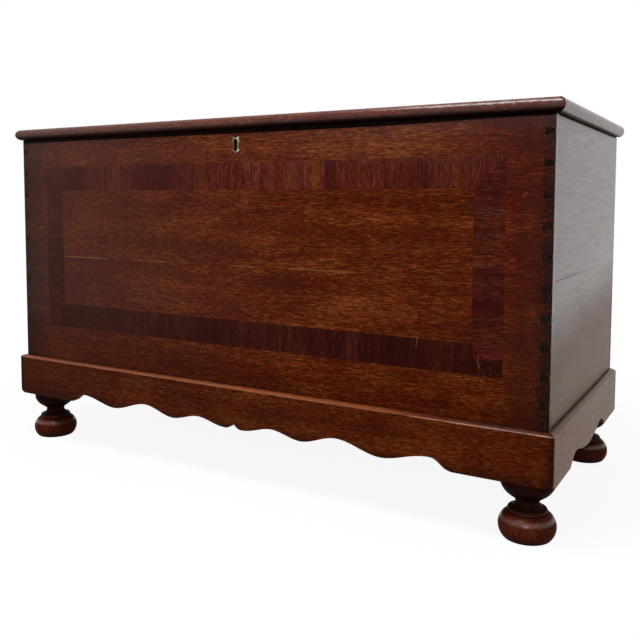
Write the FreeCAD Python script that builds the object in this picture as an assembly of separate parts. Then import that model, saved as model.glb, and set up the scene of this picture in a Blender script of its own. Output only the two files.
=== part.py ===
import FreeCAD, Part
import math
import os

# An oak blanket chest on turned bun feet. The carcase is through-dovetailed from edge-jointed planks, its
# front is crossbanded in mahogany, and a scalloped plinth is planted round its base. A hinged lid with a
# rounded edge shuts on it, and a small brass lock is let into the top of the front.
# Millimetres. +X is the chest's left to right as seen from the front, -Y is the front and Z is up from the
# floor. The origin is on the floor, in the middle of the chest's overall box.

Vector = FreeCAD.Vector
UP = Vector(0, 0, 1)

# ---------------------------------------------------------------- driving dimensions
# carcase
body_width = 1220.0
body_depth = 548.0
carcase_height = 552.0
board_thickness = 18.0
plank_joint_rise = 288.0  # from the carcase's lower edge to the joint between its two planks
corner_wear_radius = 2.0  # rounding of the carcase's upright corners
rim_wear_radius = 1.2  # rounding of the carcase's upper outer edge
bottom_board_thickness = 14.0
bottom_board_count = 3

# dovetails
upper_pin_count = 5
upper_pin_drop = 28.0  # from the carcase's top edge to the middle of the upper planks' first pin
upper_pin_rise = 39.0  # from the planks' joint to the middle of their last one
lower_pin_count = 6
lower_pin_drop = 12.0  # from the planks' joint to the middle of the lower planks' first pin
lower_pin_rise = 42.0  # from the carcase's lower edge to the middle of their last one
pin_width_outside = 8.5
pin_width_inside = 13.5

# crossbanding
band_width = 53.0
band_side_margin = 76.5  # from the carcase's sides to the band's outer edge
band_top_margin = 63.5
band_outer_height = 362.0
inlay_thickness = 1.5
long_band_segments = 10
short_band_segments = 4

# plinth
plinth_height = 90.0
plinth_thickness = 12.0
plinth_top_ledge = 1.0  # the flat left on the plinth's top edge beside the carcase
plinth_top_slope = 5.0  # how far the weathered top falls from there to the outer face
plinth_top_fullness = 0.09  # how far the slope bulges, as a share of its width
plinth_corner_radius = 4.0
plinth_foot_corner_radius = 16.0  # rounding of the plinth's lower front corners

# feet and their blocks
foot_height = 104.0
foot_side_inset = 54.5  # from the plinth's outer face to the foot's axis
foot_front_inset = 54.5
foot_back_inset = 44.0  # from the carcase's back face to the foot's axis
foot_rest_radius = 40.0
bun_radius = 48.0
bun_widest_height = 20.0
bun_top_radius = 34.4
bun_top_height = 43.2
bead_radius = 1.35
bead_seat_step = 2.1  # from the bun's top edge in to the first bead's seat
bead_step = 1.1  # from one bead's seat in to the next one's
neck_radius = 20.0
neck_bottom_height = 58.6
neck_top_height = 66.3
neck_collar_step = 5.0
neck_collar_height = 1.2
capital_radius = 45.1
capital_rim_height = 90.0
tenon_radius = 12.5
tenon_length = 22.0
foot_block_thickness = 26.0
foot_block_size = 96.0

# how far the foot's mouldings bow, as shares of their chords: plus is hollow and minus is full
skirt_bow = 0.12
collar_bow = 0.2
capital_bow = -0.11

# glue blocks behind the plinth
glue_block_length = 46.0
glue_block_section = 15.0

# lid
lid_thickness = 24.0
lid_seat_gap = 0.5
lid_side_overhang = 15.0
lid_front_overhang = 9.0
lid_back_setback = 4.0
lid_plank_count = 3
moulding_width = 30.0
nose_radius = 11.7
tongue_length = 8.0
tongue_thickness = 7.0

# hinges
hinge_end_distance = 170.0  # from the carcase's side to the hinge's middle
hinge_length = 76.0
hinge_leaf_reach = 20.0  # from the pin's axis to the leaf's inner edge
hinge_leaf_thickness = 2.0
hinge_barrel_radius = 3.5
hinge_pin_radius = 1.8
hinge_barrel_standoff = 4.0  # from the carcase's back face to the pin's axis
knuckle_count = 5
knuckle_gap = 0.3
hinge_screws_per_leaf = 3
hinge_screw_margin = 6.5  # from the leaf's inner edge to the screws

# lock
lock_offset = 1.0  # the lock sits a touch to the right of the middle
lock_case_width = 76.0
lock_case_height = 46.0
lock_case_depth = 12.0
lock_plate_width = 100.0
lock_plate_thickness = 2.0
lock_wall_thickness = 1.5
lock_cap_thickness = 1.2
selvedge_depth = 14.0
selvedge_thickness = 2.5
keyhole_head_radius = 3.3
keyhole_slot_width = 6.0
keyhole_head_drop = 23.2  # from the carcase's top edge to the middle of the keyhole's round head
keyhole_length = 17.2  # from the round head's middle to the slot's foot
bolt_rail_height = 4.5
bolt_finger_height = 4.0
bolt_finger_length = 8.0
bolt_post_width = 4.0
bolt_finger_depth = 3.2
bolt_finger_standoff = 1.0  # from the withdrawn finger's tip to its loop
talon_height = 2.0
bolt_spring_thickness = 0.8
bolt_spring_length = 15.0
bolt_spring_depth = 3.0
bolt_spring_sag = 3.0

# link plate in the lid
loop_spacing = 30.0
loop_thickness = 3.0
loop_depth = 7.0
loop_bar = 1.4
loop_drop = 14.0
loop_eye_height = 6.2
link_plate_length = 62.0
link_plate_thickness = 2.5

# escutcheon
escutcheon_thickness = 1.2
escutcheon_foot_drop = 48.0  # from the carcase's top edge to the escutcheon's lower point
escutcheon_height = 36.0  # to the tips of the two horns
escutcheon_horn_half_width = 9.6
escutcheon_horn_hollow_half_width = 8.2
escutcheon_horn_hollow_height = 29.9
escutcheon_head_height = 32.0  # in the middle of the hollow between the horns
escutcheon_shoulder_half_width = 10.5
escutcheon_shoulder_height = 24.4
escutcheon_waist_half_width = 5.9
escutcheon_waist_height = 15.5
escutcheon_hip_half_width = 9.4
escutcheon_hip_height = 6.8
escutcheon_toe_half_width = 4.2
escutcheon_toe_height = 4.2
escutcheon_low_pin_height = 3.4
escutcheon_high_pin_height = 24.2
escutcheon_high_pin_half_width = 7.8
escutcheon_pin_radius = 0.8
escutcheon_pin_head = 0.4
escutcheon_pin_length = 6.0

# fastenings
screw_head_radius = 3.4
screw_shank_radius = 1.7
screw_length = 14.0
lock_screw_length = 11.0
nail_width = 2.6
nail_head_width = 4.2
nail_head_thickness = 1.2
plinth_nail_length = 26.0
plinth_nail_margin = 12.0  # from the plinth's top edge down to the upper nails
plinth_nail_end_distance = 44.0
plinth_front_nails = 5
bottom_nail_length = 40.0
bottom_nails_per_edge = 6

# clearances
sliding_gap = 0.3
slot_gap = 0.7
pin_running_gap = 0.05
beyond = 5.0  # how far a cutting shape runs past what it cuts

# ---------------------------------------------------------------- places worked out from them
def evenly(first, last, count):
    """Places spread evenly from the first to the last."""
    return [first + (last - first) * i / (count - 1) for i in range(count)]


def between(start, end, count):
    """Places spread evenly inside a stretch, clear of both its ends."""
    return [start + (end - start) * (i + 1) / (count + 1) for i in range(count)]


half_width = body_width / 2
plinth_bottom = foot_height
plinth_top = plinth_bottom + plinth_height
bottom_board_bottom = plinth_bottom + foot_block_thickness
carcase_bottom = bottom_board_bottom + bottom_board_thickness
carcase_top = carcase_bottom + carcase_height
plank_joint = carcase_bottom + plank_joint_rise

upper_pins = evenly(carcase_top - upper_pin_drop, plank_joint + upper_pin_rise, upper_pin_count)
lower_pins = evenly(plank_joint - lower_pin_drop, carcase_bottom + lower_pin_rise, lower_pin_count)
plank_spans = [(carcase_bottom, plank_joint, lower_pins), (plank_joint, carcase_top, upper_pins)]

overall_depth = plinth_thickness + body_depth + hinge_barrel_standoff + hinge_barrel_radius
front = -overall_depth / 2 + plinth_thickness
back = front + body_depth
inner_front = front + board_thickness
inner_back = back - board_thickness
inner_half = half_width - board_thickness
plinth_front_face = front - plinth_thickness
plinth_half = half_width + plinth_thickness

lid_bottom = carcase_top + lid_seat_gap
lid_top = lid_bottom + lid_thickness
lid_half = half_width + lid_side_overhang
lid_front = front - lid_front_overhang
lid_back = back - lid_back_setback
panel_half = lid_half - moulding_width
panel_front = lid_front + moulding_width

band_top = carcase_top - band_top_margin
band_bottom = band_top - band_outer_height
band_half = half_width - band_side_margin

hinge_axis_y = back + hinge_barrel_standoff
hinge_axis_z = carcase_top + lid_seat_gap / 2
hinge_places = {"left": -half_width + hinge_end_distance, "right": half_width - hinge_end_distance}

foot_places = {
    "front_left": (-plinth_half + foot_side_inset, plinth_front_face + foot_front_inset),
    "front_right": (plinth_half - foot_side_inset, plinth_front_face + foot_front_inset),
    "back_left": (-plinth_half + foot_side_inset, back - foot_back_inset),
    "back_right": (plinth_half - foot_side_inset, back - foot_back_inset),
}

keyhole_head_z = carcase_top - keyhole_head_drop
lock_case_back = inner_front - lock_case_depth  # the side of the case that faces the wood
lock_cavity_back = lock_case_back + lock_cap_thickness
lock_cavity_front = inner_front - lock_plate_thickness
lock_case_bottom = carcase_top - lock_case_height
selvedge_bottom = carcase_top - selvedge_thickness
loop_y = (lock_cavity_back + lock_cavity_front) / 2
loop_bottom = lid_bottom - loop_drop
eye_bottom = loop_bottom + loop_bar
loop_places = [lock_offset + side * loop_spacing / 2 for side in (-1, 1)]
finger_bottom = eye_bottom + (loop_eye_height - bolt_finger_height) / 2
rail_top = loop_bottom - slot_gap
rail_bottom = rail_top - bolt_rail_height
bolt_finger_setback = loop_thickness / 2 + bolt_finger_standoff + bolt_finger_length
bolt_tail = loop_places[0] - bolt_finger_setback - bolt_post_width


# ---------------------------------------------------------------- shape helpers
def block(x0, x1, y0, y1, z0, z1):
    """A box between two corners."""
    return Part.makeBox(x1 - x0, y1 - y0, z1 - z0, Vector(x0, y0, z0))


def cylinder(radius, start, end):
    """A round bar from start to end."""
    along = end - start
    return Part.makeCylinder(radius, along.Length, start, along)


def prism(corners, depth):
    """A straight-sided solid from a closed ring of corners, pushed along the vector depth."""
    return Part.Face(Part.makePolygon(corners + corners[:1])).extrude(depth)


def filled(edges, depth):
    """A solid from edges that close into one outline, pushed along the vector depth."""
    return Part.Face(Part.Wire(Part.sortEdges(edges)[0])).extrude(depth)


def arc(start, middle, end):
    return Part.Arc(start, middle, end).toShape()


def line(start, end):
    return Part.LineSegment(start, end).toShape()


def cut_all(body, tools):
    """The body less every tool that reaches it."""
    near = [tool for tool in tools if tool.BoundBox.intersect(body.BoundBox)]
    return body.cut(Part.makeCompound(near)) if near else body


def join(shapes):
    return shapes[0].multiFuse(shapes[1:]).removeSplitter()


def upright_edges(shape):
    return [e for e in shape.Edges if e.BoundBox.ZLength > e.BoundBox.XLength + e.BoundBox.YLength]


def mirrored_x(shape):
    return shape.mirror(Vector(0, 0, 0), Vector(1, 0, 0))


def save(name, shape):
    """Writes one named piece, or one group of loose solids, as a STEP file."""
    solids = shape.Solids
    single = solids[0] if len(solids) == 1 else Part.makeCompound(solids)
    single.exportStep("parts/" + name + ".step")


# ---------------------------------------------------------------- fastenings
def screw(point, direction, length=screw_length):
    """A countersunk wood screw, from the middle of its head's face and along the way it is driven."""
    head_height = screw_head_radius - screw_shank_radius
    tip_height = 2 * screw_shank_radius
    head = Part.makeCone(screw_head_radius, screw_shank_radius, head_height, point, direction)
    shank_start = point + direction * head_height
    shank_length = length - head_height - tip_height
    shank = Part.makeCylinder(screw_shank_radius, shank_length, shank_start, direction)
    tip_start = shank_start + direction * shank_length
    tip = Part.makeCone(screw_shank_radius, 0, tip_height, tip_start, direction)
    return join([head, shank, tip])


def nail(point, direction, length):
    """A cut nail, from the middle of its square head's face and along the way it is driven."""
    half_head = nail_head_width / 2
    half_shank = nail_width / 2
    head = block(-half_head, half_head, -half_head, half_head, 0, nail_head_thickness)
    shank = block(-half_shank, half_shank, -half_shank, half_shank, nail_head_thickness, length)
    made = join([head, shank])
    made.Placement = FreeCAD.Placement(point, FreeCAD.Rotation(UP, direction))
    return made


def bottom_nails():
    """Nails driven up through the bottom boards into the carcase's lower edge."""
    made = []
    middle_of_board = board_thickness / 2
    for side in (-1, 1):
        x = side * (half_width - middle_of_board)
        for y in between(front, back, bottom_nails_per_edge):
            made.append(nail(Vector(x, y, bottom_board_bottom), UP, bottom_nail_length))
    for y in (front + middle_of_board, back - middle_of_board):
        for x in between(-half_width, half_width, bottom_nails_per_edge):
            made.append(nail(Vector(x, y, bottom_board_bottom), UP, bottom_nail_length))
    return made


def plinth_nails():
    """Nails through the plinth into the carcase, in pairs near the corners and between them."""
    made = []
    upper_z = plinth_top - plinth_nail_margin
    lower_z = carcase_bottom + nail_head_width
    last_y = back - plinth_nail_end_distance
    first_y = front + plinth_nail_end_distance
    for side in (-1, 1):
        for y in (first_y, (first_y + last_y) / 2, last_y):
            for z in (upper_z, lower_z):
                made.append(nail(Vector(side * plinth_half, y, z), Vector(-side, 0, 0), plinth_nail_length))
    last_x = half_width - plinth_nail_end_distance
    for x in evenly(-last_x, last_x, plinth_front_nails):
        made.append(nail(Vector(x, plinth_front_face, upper_z), Vector(0, 1, 0), plinth_nail_length))
    return made


def lock_screws():
    """Two screws down through the selvedge and four through the ears of the inside plate."""
    ear = (lock_case_width + lock_plate_width) / 4
    selvedge_middle = inner_front - selvedge_depth / 2
    made = []
    for side in (-1, 1):
        x = lock_offset + side * ear
        made.append(screw(Vector(x, selvedge_middle, carcase_top), -UP, lock_screw_length))
        for z in (lock_case_bottom + 1.5 * screw_head_radius, carcase_top - lock_case_height / 2):
            made.append(screw(Vector(x, inner_front, z), Vector(0, -1, 0), lock_screw_length))
    return made


def link_plate_screws():
    """Screws up through both ends of the link plate."""
    reach = (link_plate_length + loop_spacing + loop_thickness) / 4
    places = [lock_offset + side * reach for side in (-1, 1)]
    return [screw(Vector(x, loop_y, lid_bottom), UP, lock_screw_length) for x in places]


def hinge_screws(centre_x, head_z, direction):
    """The row of screws in one hinge leaf."""
    pitch = hinge_length / hinge_screws_per_leaf
    y = hinge_axis_y - hinge_leaf_reach + hinge_screw_margin
    first = centre_x - hinge_length / 2 + pitch / 2
    return [screw(Vector(first + i * pitch, y, head_z), direction) for i in range(hinge_screws_per_leaf)]


# ---------------------------------------------------------------- carcase
def carcase_envelope():
    """The carcase's outer form with its corners worn round. Every carcase board is trimmed to it."""
    whole = block(-half_width, half_width, front, back, carcase_bottom, carcase_top)
    rounded = whole.makeFillet(corner_wear_radius, upright_edges(whole))
    rim = [e for e in rounded.Edges if e.BoundBox.ZMin > carcase_top - sliding_gap]
    return rounded.makeFillet(rim_wear_radius, rim)


def pin(side, end_y, inward, z):
    """One dovetail pin: narrow at the carcase's side and wide where it leaves the end board."""
    narrow = pin_width_outside / 2
    wide = pin_width_inside / 2
    outside = side * half_width
    inside = side * inner_half
    corners = [
        Vector(outside, end_y, z - narrow),
        Vector(outside, end_y, z + narrow),
        Vector(inside, end_y, z + wide),
        Vector(inside, end_y, z - wide),
    ]
    return prism(corners, Vector(0, inward * board_thickness, 0))


def pins(side, end_y, inward, heights):
    return [pin(side, end_y, inward, z) for z in heights]


def end_boards(side, envelope, fastenings):
    """The lower and upper planks of one end, with the pins that pass through the front and the back."""
    planks = []
    low_x = min(side * inner_half, side * half_width)
    for z0, z1, heights in plank_spans:
        board = block(low_x, low_x + board_thickness, inner_front, inner_back, z0, z1)
        own = pins(side, front, 1, heights) + pins(side, back, -1, heights)
        planks.append(cut_all(join([board] + own).common(envelope), fastenings))
    return planks


def face_boards(end_y, inward, envelope, cutters):
    """The lower and upper planks of the front or the back, with a socket for each pin."""
    low_y = min(end_y, end_y + inward * board_thickness)
    planks = []
    for z0, z1, heights in plank_spans:
        board = block(-half_width, half_width, low_y, low_y + board_thickness, z0, z1)
        sockets = pins(-1, end_y, inward, heights) + pins(1, end_y, inward, heights)
        planks.append(cut_all(board.common(envelope), sockets + cutters))
    return planks


def bottom_boards(fastenings):
    """Boards laid lengthwise under the carcase and nailed to it."""
    width = body_depth / bottom_board_count
    boards = []
    for i in range(bottom_board_count):
        y0 = front + i * width
        board = block(-half_width, half_width, y0, y0 + width, bottom_board_bottom, carcase_bottom)
        boards.append(cut_all(board, fastenings))
    return boards


# ---------------------------------------------------------------- crossbanding
def band_piece(outer, inner):
    """One side of the band, mitred and of the inlay's thickness, from its edges' (x, z) corners."""
    corners = [Vector(x, front, z) for x, z in outer + inner[::-1]]
    return prism(corners, Vector(0, inlay_thickness, 0))


def split_along(piece, count, axis):
    """The piece cut into equal lengths of cross-grained veneer, axis 0 for along X and 2 for along Z."""
    box = piece.BoundBox
    low, high = (box.XMin, box.XMax) if axis == 0 else (box.ZMin, box.ZMax)
    step = (high - low) / count
    parts = []
    for i in range(count):
        start = low + i * step
        if axis == 0:
            window = block(start, start + step, box.YMin, box.YMax, box.ZMin, box.ZMax)
        else:
            window = block(box.XMin, box.XMax, box.YMin, box.YMax, start, start + step)
        parts.append(piece.common(window))
    return parts


def crossbands():
    """The four sides of the band, each a row of veneer pieces with mitred ends."""
    outer = [(x, z) for x in (-band_half, band_half) for z in (band_bottom, band_top)]
    inner_half_span = band_half - band_width
    inner_heights = (band_bottom + band_width, band_top - band_width)
    inner = [(x, z) for x in (-inner_half_span, inner_half_span) for z in inner_heights]
    low_left, high_left, low_right, high_right = range(4)
    top = band_piece([outer[high_left], outer[high_right]], [inner[high_left], inner[high_right]])
    low = band_piece([outer[low_left], outer[low_right]], [inner[low_left], inner[low_right]])
    right = band_piece([outer[low_right], outer[high_right]], [inner[low_right], inner[high_right]])
    return {
        "crossband_top": split_along(top, long_band_segments, 0),
        "crossband_bottom": split_along(low, long_band_segments, 0),
        "crossband_left": split_along(mirrored_x(right), short_band_segments, 2),
        "crossband_right": split_along(right, short_band_segments, 2),
    }


# ---------------------------------------------------------------- plinth
def scallop(knots, place):
    """A flowing edge through its high and low points, each given as (distance, rise, slope)."""
    points = [place(distance, rise) for distance, rise, slope in knots]
    origin = place(0, 0)
    tangents = [place(1, slope) - origin for distance, rise, slope in knots]
    curve = Part.BSplineCurve()
    curve.interpolate(Points=points, Tangents=tangents, TangentFlags=[True] * len(points))
    return curve.toShape()


# High and low points of the scalloped lower edges, as (distance from the middle, rise, slope).
front_scallops = [
    (0.0, 15.2, -0.82),
    (19.0, 5.0, 0.0),
    (89.0, 17.6, 0.0),
    (155.0, 4.9, 0.0),
    (230.5, 22.5, 0.0),
    (321.0, 2.6, 0.0),
    (412.0, 19.3, 0.0),
    (457.5, 0.0, 0.0),
]
glued_low_points = [front_scallops[i][0] for i in (3, 5)]
side_scallops = [
    (0.0, 2.0, 0.0),
    (60.0, 8.5, 0.12),
    (110.0, 19.0, 0.0),
    (134.0, 15.0, -0.6),
    (158.0, 0.0, -0.5),
]


def scalloped_outline(knots, place, reach, rounded_sides):
    """The edges of a plinth board's face: a straight top, a scalloped foot and corners at either reach."""
    def mirrored(distance, rise):
        return place(-distance, rise)

    last = knots[-1][0]
    edges = [scallop(knots, place), scallop(knots, mirrored)]
    for side in (-1, 1):
        radius = plinth_foot_corner_radius if side in rounded_sides else 0
        corner_start = place(side * (reach - radius), 0)
        corner_end = place(side * reach, radius)
        edges.append(line(place(side * last, 0), corner_start))
        if radius > 0:
            lean = radius * (1 - math.sqrt(0.5))
            edges.append(arc(corner_start, place(side * (reach - lean), lean), corner_end))
        edges.append(line(corner_end, place(side * reach, plinth_height)))
    edges.append(line(place(-reach, plinth_height), place(reach, plinth_height)))
    return edges


def plinth_waste(place, along):
    """What is planed off above the sloping top, placed by distance from the outer face and height."""
    ledge = plinth_thickness - plinth_top_ledge
    low = plinth_top - plinth_top_slope
    past = plinth_top + beyond
    middle_distance = ledge / 2 - plinth_top_slope * plinth_top_fullness
    middle_height = (low + plinth_top) / 2 + ledge * plinth_top_fullness
    edges = [
        arc(place(0, low), place(middle_distance, middle_height), place(ledge, plinth_top)),
        line(place(ledge, plinth_top), place(ledge, past)),
        line(place(ledge, past), place(-beyond, past)),
        line(place(-beyond, past), place(-beyond, low)),
        line(place(-beyond, low), place(0, low)),
    ]
    return filled(edges, along)


def plinth_envelope():
    """The plinth's outer form, its upright corners eased and its top weathered down to the outer faces."""
    y_past = back + beyond

    def from_front(distance, height):
        return Vector(-plinth_half, plinth_front_face + distance, height)

    def from_right(distance, height):
        return Vector(plinth_half - distance, plinth_front_face, height)

    whole = block(-plinth_half, plinth_half, plinth_front_face, y_past, plinth_bottom, plinth_top)
    corners = [e for e in upright_edges(whole) if e.BoundBox.YMax < front]
    rounded = whole.makeFillet(plinth_corner_radius, corners)
    front_waste = plinth_waste(from_front, Vector(2 * plinth_half, 0, 0))
    right_waste = plinth_waste(from_right, Vector(0, y_past - plinth_front_face, 0))
    return cut_all(rounded, [front_waste, right_waste, mirrored_x(right_waste)])


def plinth_front(envelope, fastenings):
    def place(distance, rise):
        return Vector(distance, plinth_front_face, plinth_bottom + rise)

    edges = scalloped_outline(front_scallops, place, plinth_half, (-1, 1))
    board = filled(edges, Vector(0, plinth_thickness, 0))
    mitred = [
        Vector(-plinth_half, plinth_front_face, 0),
        Vector(plinth_half, plinth_front_face, 0),
        Vector(half_width, front, 0),
        Vector(-half_width, front, 0),
    ]
    return cut_all(board.common(prism(mitred, UP * plinth_top)).common(envelope), fastenings)


def plinth_side(side, envelope, fastenings):
    middle_y = (plinth_front_face + back) / 2
    reach = (back - plinth_front_face) / 2
    low_x = min(side * half_width, side * plinth_half)

    def place(distance, rise):
        return Vector(low_x, middle_y + distance, plinth_bottom + rise)

    edges = scalloped_outline(side_scallops, place, reach, (-1,))
    board = filled(edges, Vector(plinth_thickness, 0, 0))
    mitred = [
        Vector(side * plinth_half, plinth_front_face, 0),
        Vector(side * half_width, front, 0),
        Vector(side * half_width, back, 0),
        Vector(side * plinth_half, back, 0),
    ]
    return cut_all(board.common(prism(mitred, UP * plinth_top)).common(envelope), fastenings)


def plinth_back_rail():
    """A plain rail under the bottom boards, between the back foot blocks."""
    reach = plinth_half - foot_side_inset - foot_block_size / 2
    return block(-reach, reach, inner_back, back, plinth_bottom, bottom_board_bottom)


def glue_blocks():
    """Short blocks rubbed into the angle between the plinth and the bottom boards, behind its low points."""
    made = []
    half = glue_block_length / 2
    z0 = bottom_board_bottom - glue_block_section
    y1 = front + glue_block_section
    for distance in glued_low_points:
        for x in (-distance, distance):
            made.append(block(x - half, x + half, front, y1, z0, bottom_board_bottom))
    middle_y = (plinth_front_face + back) / 2
    for side in (-1, 1):
        x0, x1 = sorted((side * half_width, side * (half_width - glue_block_section)))
        made.append(block(x0, x1, middle_y - half, middle_y + half, z0, bottom_board_bottom))
    return made


# ---------------------------------------------------------------- feet
def foot_profile():
    """Half the turned foot's section in the XZ plane, from the floor up to the tenon and down the axis."""
    def at(radius, height):
        return Vector(radius, 0, height)

    def bun_arc(end_radius, end_height):
        """An arc that leaves the bun's widest point upright and ends at the given point."""
        rise = end_height - bun_widest_height
        drop = bun_radius - end_radius
        radius = (drop * drop + rise * rise) / (2 * drop)
        centre = bun_radius - radius
        half_angle = math.atan2(rise, end_radius - centre) / 2
        middle_radius = centre + radius * math.cos(half_angle)
        middle_height = bun_widest_height + radius * math.sin(half_angle)
        widest = at(bun_radius, bun_widest_height)
        return arc(widest, at(middle_radius, middle_height), at(end_radius, end_height))

    def bowed(start, end, bow):
        """An arc between two points, bowed by a share of their distance towards the foot's axis."""
        across = end - start
        bulge = Vector(-across.z, 0, across.x) * bow
        return arc(start, (start + end) / 2 + bulge, end)

    def bead(seat, bottom):
        """A half round that stands out from its seat."""
        return bowed(at(seat, bottom), at(seat, bottom + 2 * bead_radius), -0.5)

    first_bead_seat = bun_top_radius - bead_seat_step
    second_bead_seat = first_bead_seat - bead_step
    skirt_radius = second_bead_seat - bead_step
    first_bead_bottom = bun_top_height + bead_step
    second_bead_bottom = first_bead_bottom + 2 * bead_radius
    skirt_bottom = second_bead_bottom + 2 * bead_radius
    collar_radius = neck_radius + neck_collar_step
    collar_bottom = neck_top_height + neck_collar_height
    collar_top = collar_bottom + neck_collar_height
    top = foot_height + tenon_length
    return [
        line(at(0, 0), at(foot_rest_radius, 0)),
        bun_arc(foot_rest_radius, 0),
        bun_arc(bun_top_radius, bun_top_height),
        line(at(bun_top_radius, bun_top_height), at(first_bead_seat, bun_top_height)),
        line(at(first_bead_seat, bun_top_height), at(first_bead_seat, first_bead_bottom)),
        bead(first_bead_seat, first_bead_bottom),
        line(at(first_bead_seat, second_bead_bottom), at(second_bead_seat, second_bead_bottom)),
        bead(second_bead_seat, second_bead_bottom),
        line(at(second_bead_seat, skirt_bottom), at(skirt_radius, skirt_bottom)),
        bowed(at(skirt_radius, skirt_bottom), at(neck_radius, neck_bottom_height), skirt_bow),
        line(at(neck_radius, neck_bottom_height), at(neck_radius, neck_top_height)),
        bowed(at(neck_radius, neck_top_height), at(collar_radius, collar_bottom), collar_bow),
        line(at(collar_radius, collar_bottom), at(collar_radius, collar_top)),
        bowed(at(collar_radius, collar_top), at(capital_radius, capital_rim_height), capital_bow),
        line(at(capital_radius, capital_rim_height), at(capital_radius, foot_height)),
        line(at(capital_radius, foot_height), at(tenon_radius, foot_height)),
        line(at(tenon_radius, foot_height), at(tenon_radius, top)),
        line(at(tenon_radius, top), at(0, top)),
        line(at(0, top), at(0, 0)),
    ]


def foot():
    """One turned foot on the Z axis, with the tenon that enters its block."""
    section = Part.Face(Part.Wire(Part.sortEdges(foot_profile())[0]))
    return section.revolve(Vector(0, 0, 0), UP, 360)


def foot_block(x, y):
    """The square block that a foot's tenon is glued into, fitted into the plinth's corner."""
    half = foot_block_size / 2
    x0, x1 = max(x - half, -half_width), min(x + half, half_width)
    y0, y1 = max(y - half, front), min(y + half, back)
    blank = block(x0, x1, y0, y1, plinth_bottom, bottom_board_bottom)
    socket = cylinder(tenon_radius, Vector(x, y, plinth_bottom), Vector(x, y, plinth_bottom + tenon_length))
    return blank.cut(socket)


# ---------------------------------------------------------------- lid
def nose_profile(place):
    """The section of a lid moulding with a rounded nose, as edges placed by distance from it and height."""
    low = lid_bottom
    high = lid_top
    lean = nose_radius * (1 - math.sqrt(0.5))
    return [
        line(place(moulding_width, low), place(nose_radius, low)),
        arc(place(nose_radius, low), place(lean, low + lean), place(0, low + nose_radius)),
        line(place(0, low + nose_radius), place(0, high - nose_radius)),
        arc(place(0, high - nose_radius), place(lean, high - lean), place(nose_radius, high)),
        line(place(nose_radius, high), place(moulding_width, high)),
        line(place(moulding_width, high), place(moulding_width, low)),
    ]


def tongue(x0, x1, y0, y1):
    """The tongue along a plank's end or edge, in the middle of the lid's thickness."""
    middle = (lid_bottom + lid_top) / 2
    return block(x0, x1, y0, y1, middle - tongue_thickness / 2, middle + tongue_thickness / 2)


def lid_front_moulding(cutters):
    def place(distance, height):
        return Vector(-lid_half, lid_front + distance, height)

    bar = filled(nose_profile(place), Vector(2 * lid_half, 0, 0))
    mitred = [
        Vector(-lid_half, lid_front, lid_bottom),
        Vector(lid_half, lid_front, lid_bottom),
        Vector(panel_half, panel_front, lid_bottom),
        Vector(-panel_half, panel_front, lid_bottom),
    ]
    return cut_all(bar.common(prism(mitred, UP * lid_thickness)), cutters)


def lid_side_moulding(side, cutters):
    def place(distance, height):
        return Vector(side * (lid_half - distance), lid_front, height)

    bar = filled(nose_profile(place), Vector(0, lid_back - lid_front, 0))
    mitred = [
        Vector(side * lid_half, lid_front, lid_bottom),
        Vector(side * panel_half, panel_front, lid_bottom),
        Vector(side * panel_half, lid_back, lid_bottom),
        Vector(side * lid_half, lid_back, lid_bottom),
    ]
    return cut_all(bar.common(prism(mitred, UP * lid_thickness)), cutters)


def lid_planks(cutters):
    """The lid's planks, edge to edge, with a tongue at each end and along the front one's edge."""
    width = (lid_back - panel_front) / lid_plank_count
    planks = []
    for i in range(lid_plank_count):
        y0 = panel_front + i * width
        plank = block(-panel_half, panel_half, y0, y0 + width, lid_bottom, lid_top)
        tongue_half = panel_half + tongue_length
        fused = [plank, tongue(-tongue_half, tongue_half, y0, y0 + width)]
        if i == 0:
            fused.append(tongue(-panel_half, panel_half, y0 - tongue_length, y0))
        planks.append(cut_all(join(fused), cutters))
    return planks


# ---------------------------------------------------------------- hinges
def knuckles(centre_x, first):
    """Where one leaf's barrel pieces lie along X: every second one, less the running gaps."""
    pitch = hinge_length / knuckle_count
    start = centre_x - hinge_length / 2
    stretches = []
    for i in range(first, knuckle_count, 2):
        x0 = start + i * pitch + (knuckle_gap / 2 if i > 0 else 0)
        x1 = start + (i + 1) * pitch - (knuckle_gap / 2 if i < knuckle_count - 1 else 0)
        stretches.append((x0, x1))
    return stretches


def hinge_leaf(centre_x, first, leaf_bottom, screws):
    """One leaf with its knuckles, bored for the pin and countersunk for its screws."""
    leaf_top = leaf_bottom + hinge_leaf_thickness
    inner_y = hinge_axis_y - hinge_leaf_reach
    clear_y = hinge_axis_y - hinge_barrel_radius - knuckle_gap
    half = hinge_length / 2
    pieces = [block(centre_x - half, centre_x + half, inner_y, clear_y, leaf_bottom, leaf_top)]
    for x0, x1 in knuckles(centre_x, first):
        start = Vector(x0, hinge_axis_y, hinge_axis_z)
        end = Vector(x1, hinge_axis_y, hinge_axis_z)
        pieces.append(cylinder(hinge_barrel_radius, start, end))
        pieces.append(block(x0, x1, clear_y - 1, hinge_axis_y, leaf_bottom, leaf_top))
    ends = [Vector(centre_x + side * (half + beyond), hinge_axis_y, hinge_axis_z) for side in (-1, 1)]
    return cut_all(join(pieces).cut(cylinder(hinge_pin_radius + pin_running_gap, *ends)), screws)


def hinge_pin(centre_x):
    half = hinge_length / 2
    ends = [Vector(centre_x + side * half, hinge_axis_y, hinge_axis_z) for side in (-1, 1)]
    return cylinder(hinge_pin_radius, *ends)


def leaf_recess(centre_x, z0, z1):
    """The shallow housing that a leaf lies in."""
    half = hinge_length / 2
    return block(centre_x - half, centre_x + half, hinge_axis_y - hinge_leaf_reach, hinge_axis_y, z0, z1)


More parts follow.
